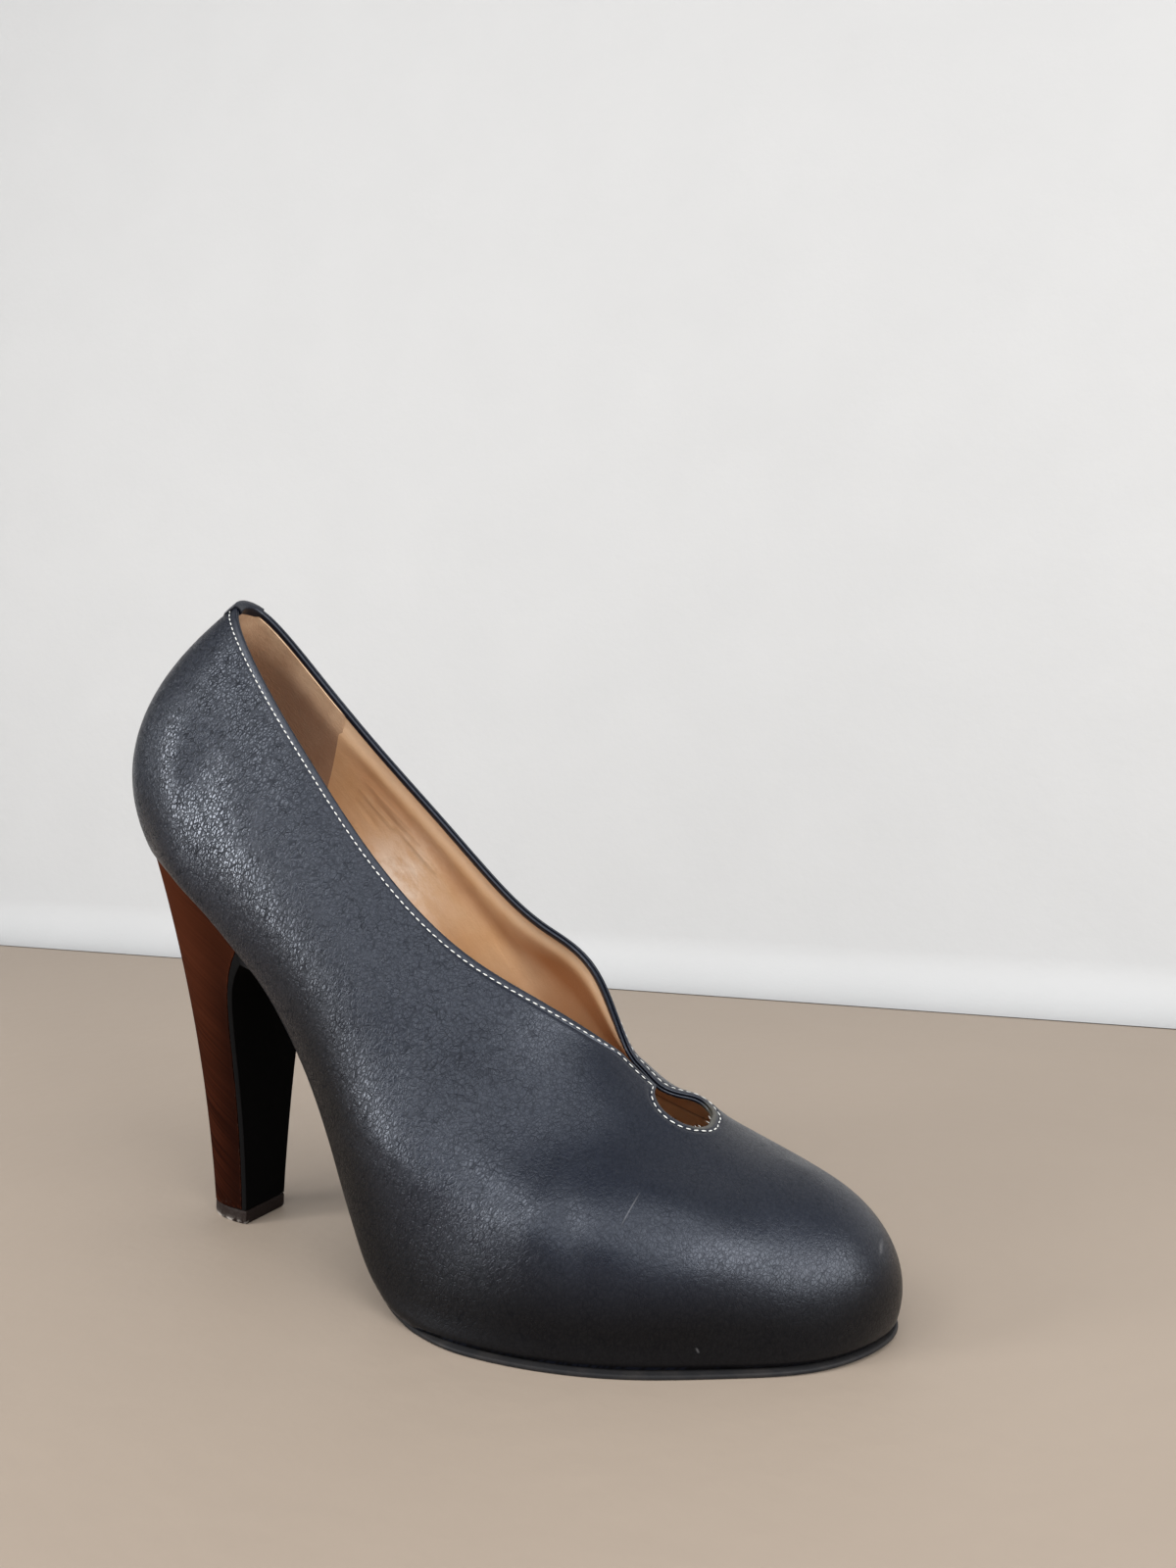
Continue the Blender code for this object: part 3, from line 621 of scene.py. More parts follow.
def buildUpper(material):
    s, last = upperStations()
    edges, base, out, skins, paints, inner = {}, {}, {}, {}, {}, {}
    for way in bothWays:
        edges[way] = edgeAt(way * s)
        edges[way][0] = 1.0
        edges[way][last:] = 1.0
        v = rowsToEdge(edges[way], sectionLength(way * s))
        base[way], out[way] = sectionAt(way * s, v), outwardAt(way * s, v)
    weldSides(base[1], base[-1], last)
    weldSides(out[1], out[-1], last)
    rim = rimTree(rimLoop(base[1][:, -1], base[-1][:, -1], last))
    stitch, front = upperSet["stitchFrom"], keyhole["front"]
    above, reach, swell = upperSet["seat"]
    for way in bothWays:
        points = base[way]
        x = points[..., 0]
        gap = np.array([rim.find(p)[2] for p in points.reshape(-1, 3)]).reshape(x.shape)
        low = np.linalg.norm(points - points[:, :1], axis=2)
        lift = lateralCreases(points) - upperSet["tuck"] * bump(low, 0.7)
        seat = window(x, *upperSet["seatSpan"]) * easeStep(low, 0, 4)
        lift += swell * bump(low - above, reach) * seat * (points[..., 1] < 0)
        # rolled edge, sunk seam and the swell beside it
        lift += 0.1 * bump(gap - 0.7, 0.4) - 0.2 * bump(gap - stitch, 0.34)
        lift += 0.08 * bump(gap - stitch - 1.1, 0.7)
        skins[way] = points + out[way] * lift[..., None]
        grain = 1 - 0.25 * easeStep(x, *upperSet["counterFade"]) - 0.3 * easeStep(x, *upperSet["vampFade"])
        paintedLowShadeTop = 34 - 7 * easeStep(x, -20, 10)
        paints[way] = {
            "grain": grain * (0.35 + 0.65 * easeStep(gap, 0.8, 3.0)) * easeStep(low, 0, 6),
            # paler along the collar edge; the line along the rolled lower edge over the heel seat is a
            # painted highlight
            "wear": 0.05 * bump(gap - 0.2, 0.5) + 0.2 * bump(low - 0.7, 0.35) * (x < -100),
            "rawEdge": 0.85 * bump(gap, 0.6) * easeStep(x, front - 4.0, front - 1.0),
            # painted shade low on the platform wall by the sole
            "paintedLowShade": (1 - easeStep(low, 8, paintedLowShadeTop)) * easeStep(x, *upperSet["paintedLowShadeFade"]),
        }
    weldSides(skins[1], skins[-1], last)
    bm = bmesh.new()
    for way in bothWays:
        laySheet(bm, skins[way], **paints[way])
    # rolled edge and band, one loop round collar and keyhole
    edge = rimLoop(skins[1][:, -1], skins[-1][:, -1], last)
    up = unit(rimLoop(out[1][:, -1], out[-1][:, -1], last))
    inward = unit(np.cross(up, np.roll(edge, -1, axis=0) - np.roll(edge, 1, axis=0)))
    for _ in range(6):
        inward = 0.5 * inward + 0.25 * (np.roll(inward, 1, axis=0) + np.roll(inward, -1, axis=0))
    inward = unit(inward)
    throatShare = easeStep(edge[:, 0], -8, 4)
    rows = [edge]
    for across, deep in rimProfile:
        reach = np.where(across < 0, across * (1 + 0.5 * throatShare), across)
        rows.append(edge + inward * reach[:, None] + up * deep)
    band = np.stack(rows, axis=1)
    closed = np.concatenate((band, band[:1]))
    ragged = 0.85 * easeStep(closed[:, :1, 0], front - 5.0, front - 1.0)
    laySheet(bm, closed, grain=0.12, rawEdge=ragged)
    # hidden inside of the leather and the strip under the lower edge
    ends = {1: band[:last + 1, -1], -1: np.concatenate((band[:1, -1], band[:last - 1:-1, -1]))}
    for way in bothWays:
        v = edges[way][:, None] * (np.arange(9) / 8)
        inner[way] = sectionAt(way * s, v) - outwardAt(way * s, v)
    weldSides(inner[1], inner[-1], last)
    for way in bothWays:
        inner[way][:last + 1, -1] = ends[way]
        laySheet(bm, inner[way])
        laySheet(bm, np.stack((skins[way][:, 0], inner[way][:, 0]), axis=1))
    finishPiece(bm, "upperLeather", material, ["upper"], 70)


leather = makeLeather()
buildUpper(leather)


# tan lining
liningLook = {"tan": (0.57, 0.34, 0.17), "pale": (0.74, 0.54, 0.36), "brown": (0.29, 0.115, 0.042),
              "paintedSheen": (0.84, 0.72, 0.6), "dark": (0.055, 0.025, 0.012),
              "rough": (0.5, 0.16), "relief": 0.0003}  # rough plain and polished
liningSet = {
    "step": 0.95,
    "fineReach": 7.0,
    "rows": 84,
    "face": -1.72,
    "back": -1.15,
    "under": 0.7,
    "tucked": 0.02,
    "footbedInset": 2.4,
    # medial folds in side view: x0, z0, x1, z1, height inward, width
    "folds": [(-97, 130, -84, 117, -0.5, 2.6), (-84, 117, -60, 91, -0.7, 3.0), (-60, 91, -41, 70, -0.7, 3.0),
              (-93, 123, -80, 110.5, 0.3, 0.75), (-90, 118.5, -77, 106, 0.3, 0.8),
              (-96, 121, -86, 110, 0.22, 0.7), (-84, 110, -72, 98, 0.24, 0.8),
              (-100, 111, -98.6, 105, 0.35, 0.7), (-98, 117, -90, 108, -0.2, 1.0),
              (-46, 68, -34, 56, 0.35, 1.6), (-70, 88, -52, 66, 0.3, 4.0), (-60, 74, -42, 54, -0.35, 2.4)],
    "seam": [(-6, 46.2, 12, 39.0), (12, 39.0, 26, 33.5)],
    # patch that the foot has polished, with a painted sheen over it: x, z, reach along x, reach along z
    "sheenPatchAt": (-86, 93, 13, 13),
}


def makeLining():
    look = liningLook
    material, tree, shader, plain = newMaterial("tan_lining_leather")
    polish = paintOf(tree, "polish")
    cloud = remap(tree, noiseFrom(tree, plain, 55.0, 4.0, 0.6), 0.3, 0.7, 0.0, 0.55)
    tone = mixColour(tree, cloud, look["tan"], look["pale"])
    tone = mixColour(tree, paintOf(tree, "soil"), tone, look["brown"])
    # pale rim strip: the cut edge, widened with painted light from above
    tone = mixColour(tree, paintOf(tree, "fresh"), tone, look["pale"])
    streaks = noiseFrom(tree, objectSpace(tree, (0, radians(48), 0), (1, 1, 0.5)), 260.0, 5.0, 0.7)
    # painted sheen: pale streaks over the polished patch
    paintedSheen = times(tree, polish, remap(tree, streaks, 0.4, 0.6, 0.3, 1.0))
    tone = mixColour(tree, paintedSheen, tone, look["paintedSheen"])
    # line: the dark seam line, and painted shade beside the narrow folds
    tone = mixColour(tree, paintOf(tree, "line"), tone, look["dark"])
    pores = noiseFrom(tree, plain, 1500.0, 3.0, 0.6)
    creases = noiseFrom(tree, objectSpace(tree, (0, radians(38), 0), (1, 1, 0.22)), 330.0, 3.0, 0.55)
    height = mathNode(tree, "ADD", times(tree, pores, 0.35), creases)
    fillInputs(tree, shader, {"Base Color": tone, "Roughness": remap(tree, polish, 0.0, 1.0, *look["rough"]),
                              "Normal": bumpOf(tree, height, 0.5, look["relief"])})
    return material


def footbedEdge(s):
    def under(v):
        p = (sectionAt(s, v[:, None]) - liningSet["footbedInset"] * outwardAt(s, v[:, None]))[:, 0]
        return p[:, 2] < smoothThrough(formTable["footbed"], p[:, 0])

    return halve(np.zeros(len(s)), np.full(len(s), 0.85), under, 34)


def buildLining(material):
    grow, step, fine, rows = (liningSet[key] for key in ("under", "step", "fineReach", "rows"))
    end = keyholeEnd(grow)
    first = spaced([(0, end - fine, int((end - fine) / step))])[:-1]
    cluster = closingIn(end, fine, 12)
    s = np.concatenate((first, cluster, spaced([(end, toeS, int((toeS - end) / step))])))
    last = len(first) + len(cluster)
    faces, backs, paints = {}, {}, {}
    for way in bothWays:
        top = edgeAt(way * s, grow)
        top[last:] = 1.0
        v = rowsBetween(np.maximum(footbedEdge(way * s) - liningSet["tucked"], 0.004), top, rows)
        base, out = sectionAt(way * s, v), outwardAt(way * s, v)
        below = (top[:, None] - v) * sectionLength(way * s)[:, None] + grow
        along = fromHeel(way * s)[:, None]
        openShare = 1 - easeStep(along, throatS - 6, throatS + 8)
        # below the pale rim, partly painted light, the lining hollows out and darkens with painted shade
        lift = 0.75 * easeStep(below, 3.5, 9.0) * openShare
        x, z = base[..., 0], base[..., 2]
        line, polish = np.zeros(x.shape), np.zeros(x.shape)
        # painted shade: darker deeper down inside the lining
        soil = 0.16 + 0.34 * easeStep(below, 18, 48)
        if way < 0:
            for *fold, height, width in liningSet["folds"]:
                gap, t = fromSegment(base, *fold)
                share = np.sin(pi * np.clip(t, 0.08, 0.92)) ** 0.5
                lift += height * bump(gap, width) * share
                # painted shade: a dark line beside each narrow fold
                line = np.maximum(line, 0.22 * bump(gap - width, 0.4) * share * (width < 1))
            # painted shade in the band under the rim at the back
            soil += 0.42 * bump(below - 13.0, 4.0) * openShare * easeStep(x, -104, -92)
            soil += 0.55 * window(x, -56, -26, -8, 4) * easeStep(below, 4, 10)
            polish = mound(x, z, *liningSet["sheenPatchAt"])
            soil -= 0.45 * polish
            for seam in liningSet["seam"]:
                gap = fromSegment(base, *seam)[0]
                line = np.maximum(line, 0.65 * bump(gap, 0.45))
                lift -= 0.35 * bump(gap, 0.7)
        soil *= 1 - 0.8 * easeStep(along, throatS - 4, throatS + 10)
        # pale rim: the cut edge, widened with painted light from above
        fresh = 0.75 * (1 - easeStep(below, 4.0, 8.5)) * openShare
        faces[way] = base + out * (liningSet["face"] - lift)[..., None]
        coarse = np.linspace(0, rows, 9).astype(int)
        backs[way] = (base + out * liningSet["back"])[:, coarse]
        soil = np.clip(soil * (1 - fresh), 0, 1)
        paints[way] = {"soil": soil, "line": line, "polish": polish, "fresh": fresh}
    weldSides(faces[1], faces[-1], last)
    weldSides(backs[1], backs[-1], last)
    bm = bmesh.new()
    for way in bothWays:
        laySheet(bm, faces[way], **paints[way])
        laySheet(bm, backs[way])
        for row, finish in ((0, len(s)), (-1, last + 1)):
            strip = np.stack((faces[way][:finish, row], backs[way][:finish, row]), axis=1)
            laySheet(bm, strip, soil=0.3, fresh=0.3)
    finishPiece(bm, "liningLeather", material, (), 60)


lining = makeLining()
buildLining(lining)


# heel grip of napped leather inside the counter
gripSet = {"front": 0.42, "stations": 90, "rows": 46, "face": -2.25, "back": -1.8, "under": 1.0}
gripLook = {"nap": (0.46, 0.29, 0.17), "pale": (0.64, 0.45, 0.29), "brown": (0.17, 0.075, 0.033)}


def makeNap():
    look = gripLook
    material, tree, shader, plain = newMaterial("tan_napped_leather")
    cloud = remap(tree, noiseFrom(tree, plain, 90.0, 5.0, 0.65), 0.3, 0.7, 0.0, 1.0)
    tone = mixColour(tree, cloud, look["nap"], look["pale"])
    tone = mixColour(tree, paintOf(tree, "soil"), tone, look["brown"])
    nap = noiseFrom(tree, objectSpace(tree, (0, radians(20), 0), (1, 1, 0.35)), 1300.0, 3.0, 0.7)
    fillInputs(tree, shader, {"Base Color": tone, "Normal": bumpOf(tree, nap, 0.5, 0.0004), "Roughness": 0.95,
                              "Sheen Weight": 0.12, "Sheen Roughness": 0.5})
    return material


def buildGrip(material):
    reach = knots[2] + gripSet["front"] * (knots[3] - knots[2])
    s = np.linspace(-reach, reach, gripSet["stations"] + 1)
    top = edgeAt(s, gripSet["under"])
    low = np.maximum(footbedEdge(s) - 0.5 * liningSet["tucked"], 0.004)
    v = rowsBetween(low, top, gripSet["rows"])
    base, out = sectionAt(s, v), outwardAt(s, v)
    below = (top[:, None] - v) * sectionLength(s)[:, None]
    thin = 1 - bump(np.abs(s)[:, None] - reach, 1.4) * 0.8
    lift = 0.45 * easeStep(below, 2.0, 8.0)
    face = base + out * (gripSet["back"] + (gripSet["face"] - gripSet["back"]) * thin - lift)[..., None]
    back = base + out * (gripSet["back"] + 0.05)
    # darker lower down in the heel cup and at the middle of the back
    soil = np.clip(0.1 + 0.7 * easeStep(below, 1.5, 11) + 0.25 * bump(s, 9.0)[:, None], 0, 1)
    bm = bmesh.new()
    laySheet(bm, face, soil=soil)
    laySheet(bm, back, soil=soil)
    for side in (np.s_[:, 0], np.s_[:, -1], np.s_[0], np.s_[-1]):
        laySheet(bm, np.stack((face[side], back[side]), axis=1))
    finishPiece(bm, "heelGrip", material, (), 60)


buildGrip(makeNap())


# sock lining over footbed and platform
sockSet = {
    "step": 2.0, "across": 26, "sideRows": 5, "inset": 2.0, "sag": 1.2,
    # hollows of heel and ball: x, reach, depth, then x, y, reach along x, reach along y, depth
    "heelHollow": (-128, 16, 0.9), "ballHollow": (-8, -4, 26, 26, 0.8),
    # dark from the foot: x, y, reach along x, reach along y, strength
    "soils": [(-130, 0, 14, 12, 0.5), (-2, -4, 28, 24, 0.45)],
}


def buildSock(material):
    s = spaced([(0, toeS, int(toeS / sockSet["step"]))])
    across = sockSet["across"]
    sides = {}
    for way in bothWays:
        v = rowsBetween(np.zeros(len(s)), footbedEdge(way * s), sockSet["sideRows"])
        sides[way] = sectionAt(way * s, v) - sockSet["inset"] * outwardAt(way * s, v)
    weldSides(sides[1], sides[-1], len(s) - 1)
    w = (np.arange(across + 1) / across)[None, :, None]
    top = sides[1][:, -1:] * (1 - w) + sides[-1][:, -1:] * w
    bottom = sides[1][:, :1] * (1 - w) + sides[-1][:, :1] * w
    w = w[..., 0]
    x, y = top[..., 0], top[..., 1]
    heelX, heelReach, heelDeep = sockSet["heelHollow"]
    *ball, ballDeep = sockSet["ballHollow"]
    hollow = sockSet["sag"] + heelDeep * bump(x - heelX, heelReach) + ballDeep * mound(x, y, *ball)
    top[..., 2] -= np.sin(pi * w) * hollow
    soil = 0.25 + sum(strength * mound(x, y, *place) for *place, strength in sockSet["soils"])
    bm = bmesh.new()
    laySheet(bm, top, soil=np.clip(soil, 0, 1), line=0.22 * bump(np.minimum(w, 1 - w) * 40 - 2.4, 0.6),
             polish=0.5 * soil)
    laySheet(bm, bottom, soil=soil)
    for way in bothWays:
        laySheet(bm, sides[way], soil=0.6)
    finishPiece(bm, "sockLining", material, ["insole"], 60)


buildSock(lining)


# white thread along collar and keyhole
stitchSet = {"pitch": 2.0, "length": 1.42, "width": 0.34, "height": 0.25, "slant": 3.0,
             "around": 8, "rows": 6, "frays": 7, "frayedFrom": 16.2, "frayWidth": 0.13,
             "pale": (0.42, 0.42, 0.4), "white": (0.7, 0.7, 0.67)}


def makeThread():
    material, tree, shader, plain = newMaterial("white_thread")
    tone = mixColour(tree, noiseFrom(tree, plain, 260.0, 3.0), stitchSet["pale"], stitchSet["white"])
    fillInputs(tree, shader, {"Base Color": tone, "Roughness": 0.7,
                              "Normal": bumpOf(tree, noiseFrom(tree, plain, 6000.0), 0.4, 0.0001)})
    return material


def seamPath(grow):
    end = keyholeEnd(grow)
    s = np.concatenate((np.arange(0, end - 6.0, 0.6), closingIn(end, 6.0, 60), [end]))
    sides = []
    for way in bothWays:
        v = edgeAt(way * s, grow)[:, None]
        sides.append((sectionAt(way * s, v)[:, 0], outwardAt(way * s, v)[:, 0]))
    (lat, latOut), (med, medOut) = sides
    return np.concatenate((lat, med[-2:0:-1])), np.concatenate((latOut, medOut[-2:0:-1]))


def resample(path, carried, pitch):
    path, carried = (np.concatenate((rows, rows[:1])) for rows in (path, carried))
    lengths = np.concatenate(([0], np.cumsum(np.linalg.norm(np.diff(path, axis=0), axis=1))))
    count = int(lengths[-1] / pitch)
    spots = (np.arange(count) + 0.5) * lengths[-1] / count

    def at(where, rows):
        return np.column_stack([np.interp(where, lengths, column) for column in rows.T])

    run = at(spots + probe["along"], path) - at(spots - probe["along"], path)
    return at(spots, path), unit(run), unit(at(spots, carried))


def layThread(bm, spot, axes, sizes):
    around, rows = stitchSet["around"], stitchSet["rows"]
    turn = 2 * pi * np.arange(around + 1)[:, None] / around
    fall = pi * np.arange(rows + 1) / rows
    across = np.sin(fall)
    ball = np.stack((np.sin(turn) * across, np.cos(turn) * across, np.cos(fall) + 0 * turn), axis=-1)
    laySheet(bm, spot + ball @ (0.5 * np.array(sizes)[:, None] * np.array(axes)))


def buildStitches(material):
    path, out = seamPath(upperSet["stitchFrom"])
    at, run, up = resample(path, out, stitchSet["pitch"])
    bm = bmesh.new()
    for k, (p, t, n) in enumerate(zip(at, run, up)):
        side = np.cross(n, t)
        turn = radians(stitchSet["slant"] + 2.5 * sin(k * 2.7))
        t, side = t * cos(turn) + side * sin(turn), side * cos(turn) - t * sin(turn)
        sizes = (stitchSet["length"] * (1 + 0.06 * sin(k * 1.9)), stitchSet["width"], stitchSet["height"])
        layThread(bm, p + n * (0.02 + 0.02 * sin(k * 3.1)), (t, side, n), sizes)
    # frayed ends at the front of the keyhole
    path, out = seamPath(0.0)
    front = np.flatnonzero((path[:, 0] > stitchSet["frayedFrom"]) & (path[:, 1] < ridgeY(path[:, 0])))
    wide = stitchSet["frayWidth"]
    for k, i in enumerate(np.linspace(front[0], front[-1], stitchSet["frays"]).astype(int)):
        t = unit(np.array((-1.0 + 0.5 * sin(k * 2.1), 0.45 + 0.6 * sin(k * 3.7), 0.5 + 0.5 * sin(k * 1.3))))
        side = unit(np.cross((0.0, 0.0, 1.0), t))
        long = 1.5 + 0.5 * sin(k * 4.3)
        spot = path[i] - out[i] * 0.5 + t * 0.4 * long
        layThread(bm, spot, (t, side, np.cross(t, side)), (long, wide, wide))
    finishPiece(bm, "collarStitches", material, (), 80)


buildStitches(makeThread())


# heel tab folded over the back of the collar
tabSet = {"half": 9.5, "stations": 44, "thick": 0.42, "gap": 0.12, "wall": 1.9, "outerLeg": 2.6,
          "innerLeg": 1.5, "joint": 0.975}


def buildTab(material):
    s = np.linspace(-tabSet["half"], tabSet["half"], tabSet["stations"] + 1)
    length = sectionLength(s)
    ones = np.ones((len(s), 1))
    edge = sectionAt(s, ones)[:, 0]
    out = outwardAt(s, tabSet["joint"] * ones)[:, 0]
    rise = unit(edge - sectionAt(s, tabSet["joint"] * ones)[:, 0])
    wall, near, far = tabSet["wall"], tabSet["gap"], tabSet["gap"] + tabSet["thick"]

    def leg(depth, offset):
        v = (1 - depth / length)[:, None]
        return (sectionAt(s, v) + outwardAt(s, v) * offset)[:, 0]

    def arch(angle, gap, foot, height):
        across = (0.5 * wall + gap) * cos(angle) - 0.5 * wall
        return edge + out * across + rise * (foot + height * sin(angle))

    outer = tabSet["outerLeg"]
    inner = tabSet["innerLeg"] * (1 - 0.85 * (np.abs(s) / tabSet["half"]) ** 4)
    ring = [leg(outer, near + 0.1), leg(outer + 0.15, 0.5 * (near + far)), leg(outer, far - 0.1),
            leg(0.6 * outer, far), leg(0.25 * outer, far)]
    ring += [arch(pi * k / 8, far, 0.3, 0.75) for k in range(9)]
    ring += [leg(0.5 * inner, -wall - far), leg(inner, -wall - far + 0.1),
             leg(inner + 0.1, -wall - near - 0.3), leg(inner, -wall - near)]
    ring += [arch(pi - pi * k / 6, near, 0.28, 0.4) for k in range(7)]
    bm = bmesh.new()
    laySheet(bm, closeRings(np.stack(ring, axis=1)), grain=0.3, wear=0.02, rawEdge=0.0)
    closeEnds(bm)
    finishPiece(bm, "heelTab", material, ["heel_tab"], 60)


buildTab(leather)


# stacked heel block
heelSet = {"liftHeight": 3.8, "liftFront": -111.0, "liftDepth": 16.0, "liftHalf": 8.2, "breast": 1.5,
           "gap": 0.3, "inset": 1.0, "sag": 2.5, "around": 96, "levels": 70, "layerTilt": 29.0}
woodLook = {"deep": (0.0075, 0.0022, 0.0014), "dark": (0.011, 0.0026, 0.0014),
            "brown": (0.029, 0.0074, 0.0035), "warm": (0.066, 0.0185, 0.008),
            "worn": (0.1, 0.075, 0.06), "rough": (0.3, 0.44)}


def heelPoints(k, u):
    s = k * breastS
    foot = footAt(s)
    out = planOut(s)
    top = foot - out * heelSet["inset"]
    top[:, 2] = smoothThrough(formTable["feather"], top[:, 0]) - heelSet["gap"]
    front = heelSet["liftFront"] - heelSet["breast"] - heelSet["gap"]
    depth = heelSet["liftDepth"] - heelSet["breast"] - heelSet["gap"]
    angle = k * pi / 2
    low = np.column_stack((front - depth * np.cos(angle), -heelSet["liftHalf"] * np.sin(angle),
                           np.full(len(k), heelSet["liftHeight"] + heelSet["gap"])))
    corner = np.abs(k)[:, None] ** 4
    u = u[None, :]
    share = (1 - corner) * (1 - u) + corner * (1 - u) ** 8
    p = top[:, None] * (1 - u)[..., None] + low[:, None] * u[..., None]
    p[..., 0] = low[:, :1] + (top[:, :1] - low[:, :1]) * share
    sag = heelSet["sag"] * 4 * u * (1 - u)
    p[..., 0] -= out[:, :1] * sag * (1 - corner)
    p[..., 1] -= out[:, 1:2] * sag * np.where(k < 0, 0.6, 1.0)[:, None]
    return p


def makeWood():
    look = woodLook
    material, tree, shader, plain = newMaterial("stacked_heel_lacquer")
    tilt = (0, -radians(heelSet["layerTilt"]), 0)
    layers = noiseFrom(tree, objectSpace(tree, tilt, (0.02, 0.02, 1.0)), 1500.0, 2.0, 0.6)
    broad = noiseFrom(tree, objectSpace(tree, tilt, (0.12, 0.12, 1.0)), 150.0, 2.0, 0.5)
    local = addNode(tree, "ShaderNodeSeparateXYZ", {"Vector": plain}).outputs
    high = remap(tree, local["Z"], 0.02, 0.1, 0.0, 1.0)
    tone = mixColour(tree, remap(tree, layers, 0.36, 0.64, 0.0, 1.0), look["dark"], look["brown"])
    tone = mixColour(tree, times(tree, remap(tree, broad, 0.3, 0.7, 0.45, 0.8), high), tone, look["warm"])
    tone = mixColour(tree, paintOf(tree, "shade"), tone, look["deep"])
    specks = remap(tree, noiseFrom(tree, plain, 700.0, 3.0, 0.6), 0.56, 0.68, 0.0, 1.0)
    tone = mixColour(tree, times(tree, paintOf(tree, "wear"), specks), tone, look["worn"])
    gloss = remap(tree, noiseFrom(tree, plain, 90.0, 3.0), 0.3, 0.7, *look["rough"])
    fillInputs(tree, shader, {"Base Color": tone, "Normal": bumpOf(tree, layers, 0.2, 0.0002),
                              "Roughness": gloss, "Specular IOR Level": 0.0,
                              "Coat Weight": 0.03, "Coat Roughness": 0.16})
    return material


def layBlock(bm, wall, **paints):
    laySheet(bm, wall, **paints)
    mix = np.linspace(0, 1, 13)[:, None, None]
    laySheet(bm, wall[:1] * (1 - mix) + wall[-1:] * mix)
    half = wall.shape[0] // 2
    mix = np.linspace(0, 1, 9)[None, :, None]
    for level in (0, -1):
        laySheet(bm, wall[half::-1, level][:, None] * (1 - mix) + wall[half:, level][:, None] * mix)


def buildHeel(material):
    k = np.linspace(-1, 1, heelSet["around"] + 1)
    u = np.linspace(0, 1, heelSet["levels"] + 1) ** 1.35
    corner = bump(np.abs(k)[:, None] - 1.0, 0.012)
    low = bump((u[None, :] - 1) * 90, 1.3)
    shade = 0.85 * easeStep(np.abs(k), 0.45, 0.97)[:, None] * (0.55 + 0.45 * easeStep(u, 0.0, 0.35))[None, :]
    bm = bmesh.new()
    layBlock(bm, heelPoints(k, u), wear=np.clip(0.5 * corner + 0.2 * low, 0, 1), shade=shade)
    finishPiece(bm, "heelBlock", material, ["heel"], 35)


buildHeel(makeWood())


# top lift, scuffed along its lower edge
liftLook = {"black": (0.011, 0.0062, 0.005), "scuffed": (0.5, 0.46, 0.42)}
# side of the lift from the top down: inset, height
liftProfile = [(0.0, 3.8), (0.12, 3.8), (0.12, 3.7), (0.0, 3.5), (0.0, 2.8), (0.0, 2.0), (0.0, 1.1),
               (0.08, 0.5), (0.3, 0.12), (0.62, 0.0)]


def makeRubber():
    material, tree, shader, plain = newMaterial("lift_rubber_scuffed")
    patchy = remap(tree, noiseFrom(tree, plain, 330.0, 4.0, 0.7), 0.42, 0.6, 0.0, 1.0)
    tone = mixColour(tree, times(tree, patchy, paintOf(tree, "wear")), liftLook["black"], liftLook["scuffed"])
    fillInputs(tree, shader, {"Base Color": tone, "Roughness": 0.6, "Specular IOR Level": 0.12,
                              "Normal": bumpOf(tree, noiseFrom(tree, plain, 900.0, 3.0), 0.4, 0.0003)})
    return material


def buildLift(material):
    k = np.linspace(-1, 1, 73)
    angle = k * pi / 2
    rows = []
    for inset, z in liftProfile:
        x = heelSet["liftFront"] - inset * 0.8 - (heelSet["liftDepth"] - 1.6 * inset) * np.cos(angle)
        y = -(heelSet["liftHalf"] - inset) * np.sin(angle)
        rows.append(np.column_stack((x, y, np.full(len(k), z))))
    wall = np.stack(rows, axis=1)
    side = np.where(k > 0.2, 1.0, 0.55)[:, None]
    bm = bmesh.new()
    layBlock(bm, wall, wear=np.clip(easeStep(-wall[..., 2], -1.3, -0.1) * side * 0.9 + 0.02, 0, 1))
    finishPiece(bm, "topLift", material, ["top_lift"], 35)


buildLift(makeRubber())


# sole: breast flap, waist and tread in one sheet with a rounded edge
soleSet = {"thick": 1.08, "lip": 0.55, "bulge": 0.42, "breastBulge": 0.12, "waistInset": 2.4, "gap": 0.25,
           "across": 10, "bead": 7, "breastLevels": 46,
           # turn of the flap into the waist: share of the breast, degrees, extra thickness
           "flapTurn": (0.18, -72, 2.4)}
# breast: the flap's black, darkened to near zero as painted shade under the arch
soleLook = {"edge": (0.015, 0.015, 0.016), "tread": (0.02, 0.018, 0.017), "scuffed": (0.12, 0.1, 0.085),
            "breast": (0.0004, 0.0003, 0.0003)}


def makeSole():
    look = soleLook
    material, tree, shader, plain = newMaterial("sole_black_edge")
    breast = paintOf(tree, "breast")
    patchy = remap(tree, noiseFrom(tree, plain, 140.0, 5.0, 0.7), 0.45, 0.7, 0.0, 1.0)
    tone = mixColour(tree, paintOf(tree, "tread"), look["edge"], look["tread"])
    tone = mixColour(tree, times(tree, patchy, paintOf(tree, "wear")), tone, look["scuffed"])
    # near-zero black on breast and waist underside: black flap plus painted shade under the arch
    tone = mixColour(tree, breast, tone, look["breast"])
    fillInputs(tree, shader, {"Base Color": tone, "Roughness": remap(tree, breast, 0.0, 1.0, 0.36, 0.9),
                              "Specular IOR Level": 0.05,
                              "Normal": bumpOf(tree, noiseFrom(tree, plain, 800.0, 3.0), 0.22, 0.0002)})
    return material


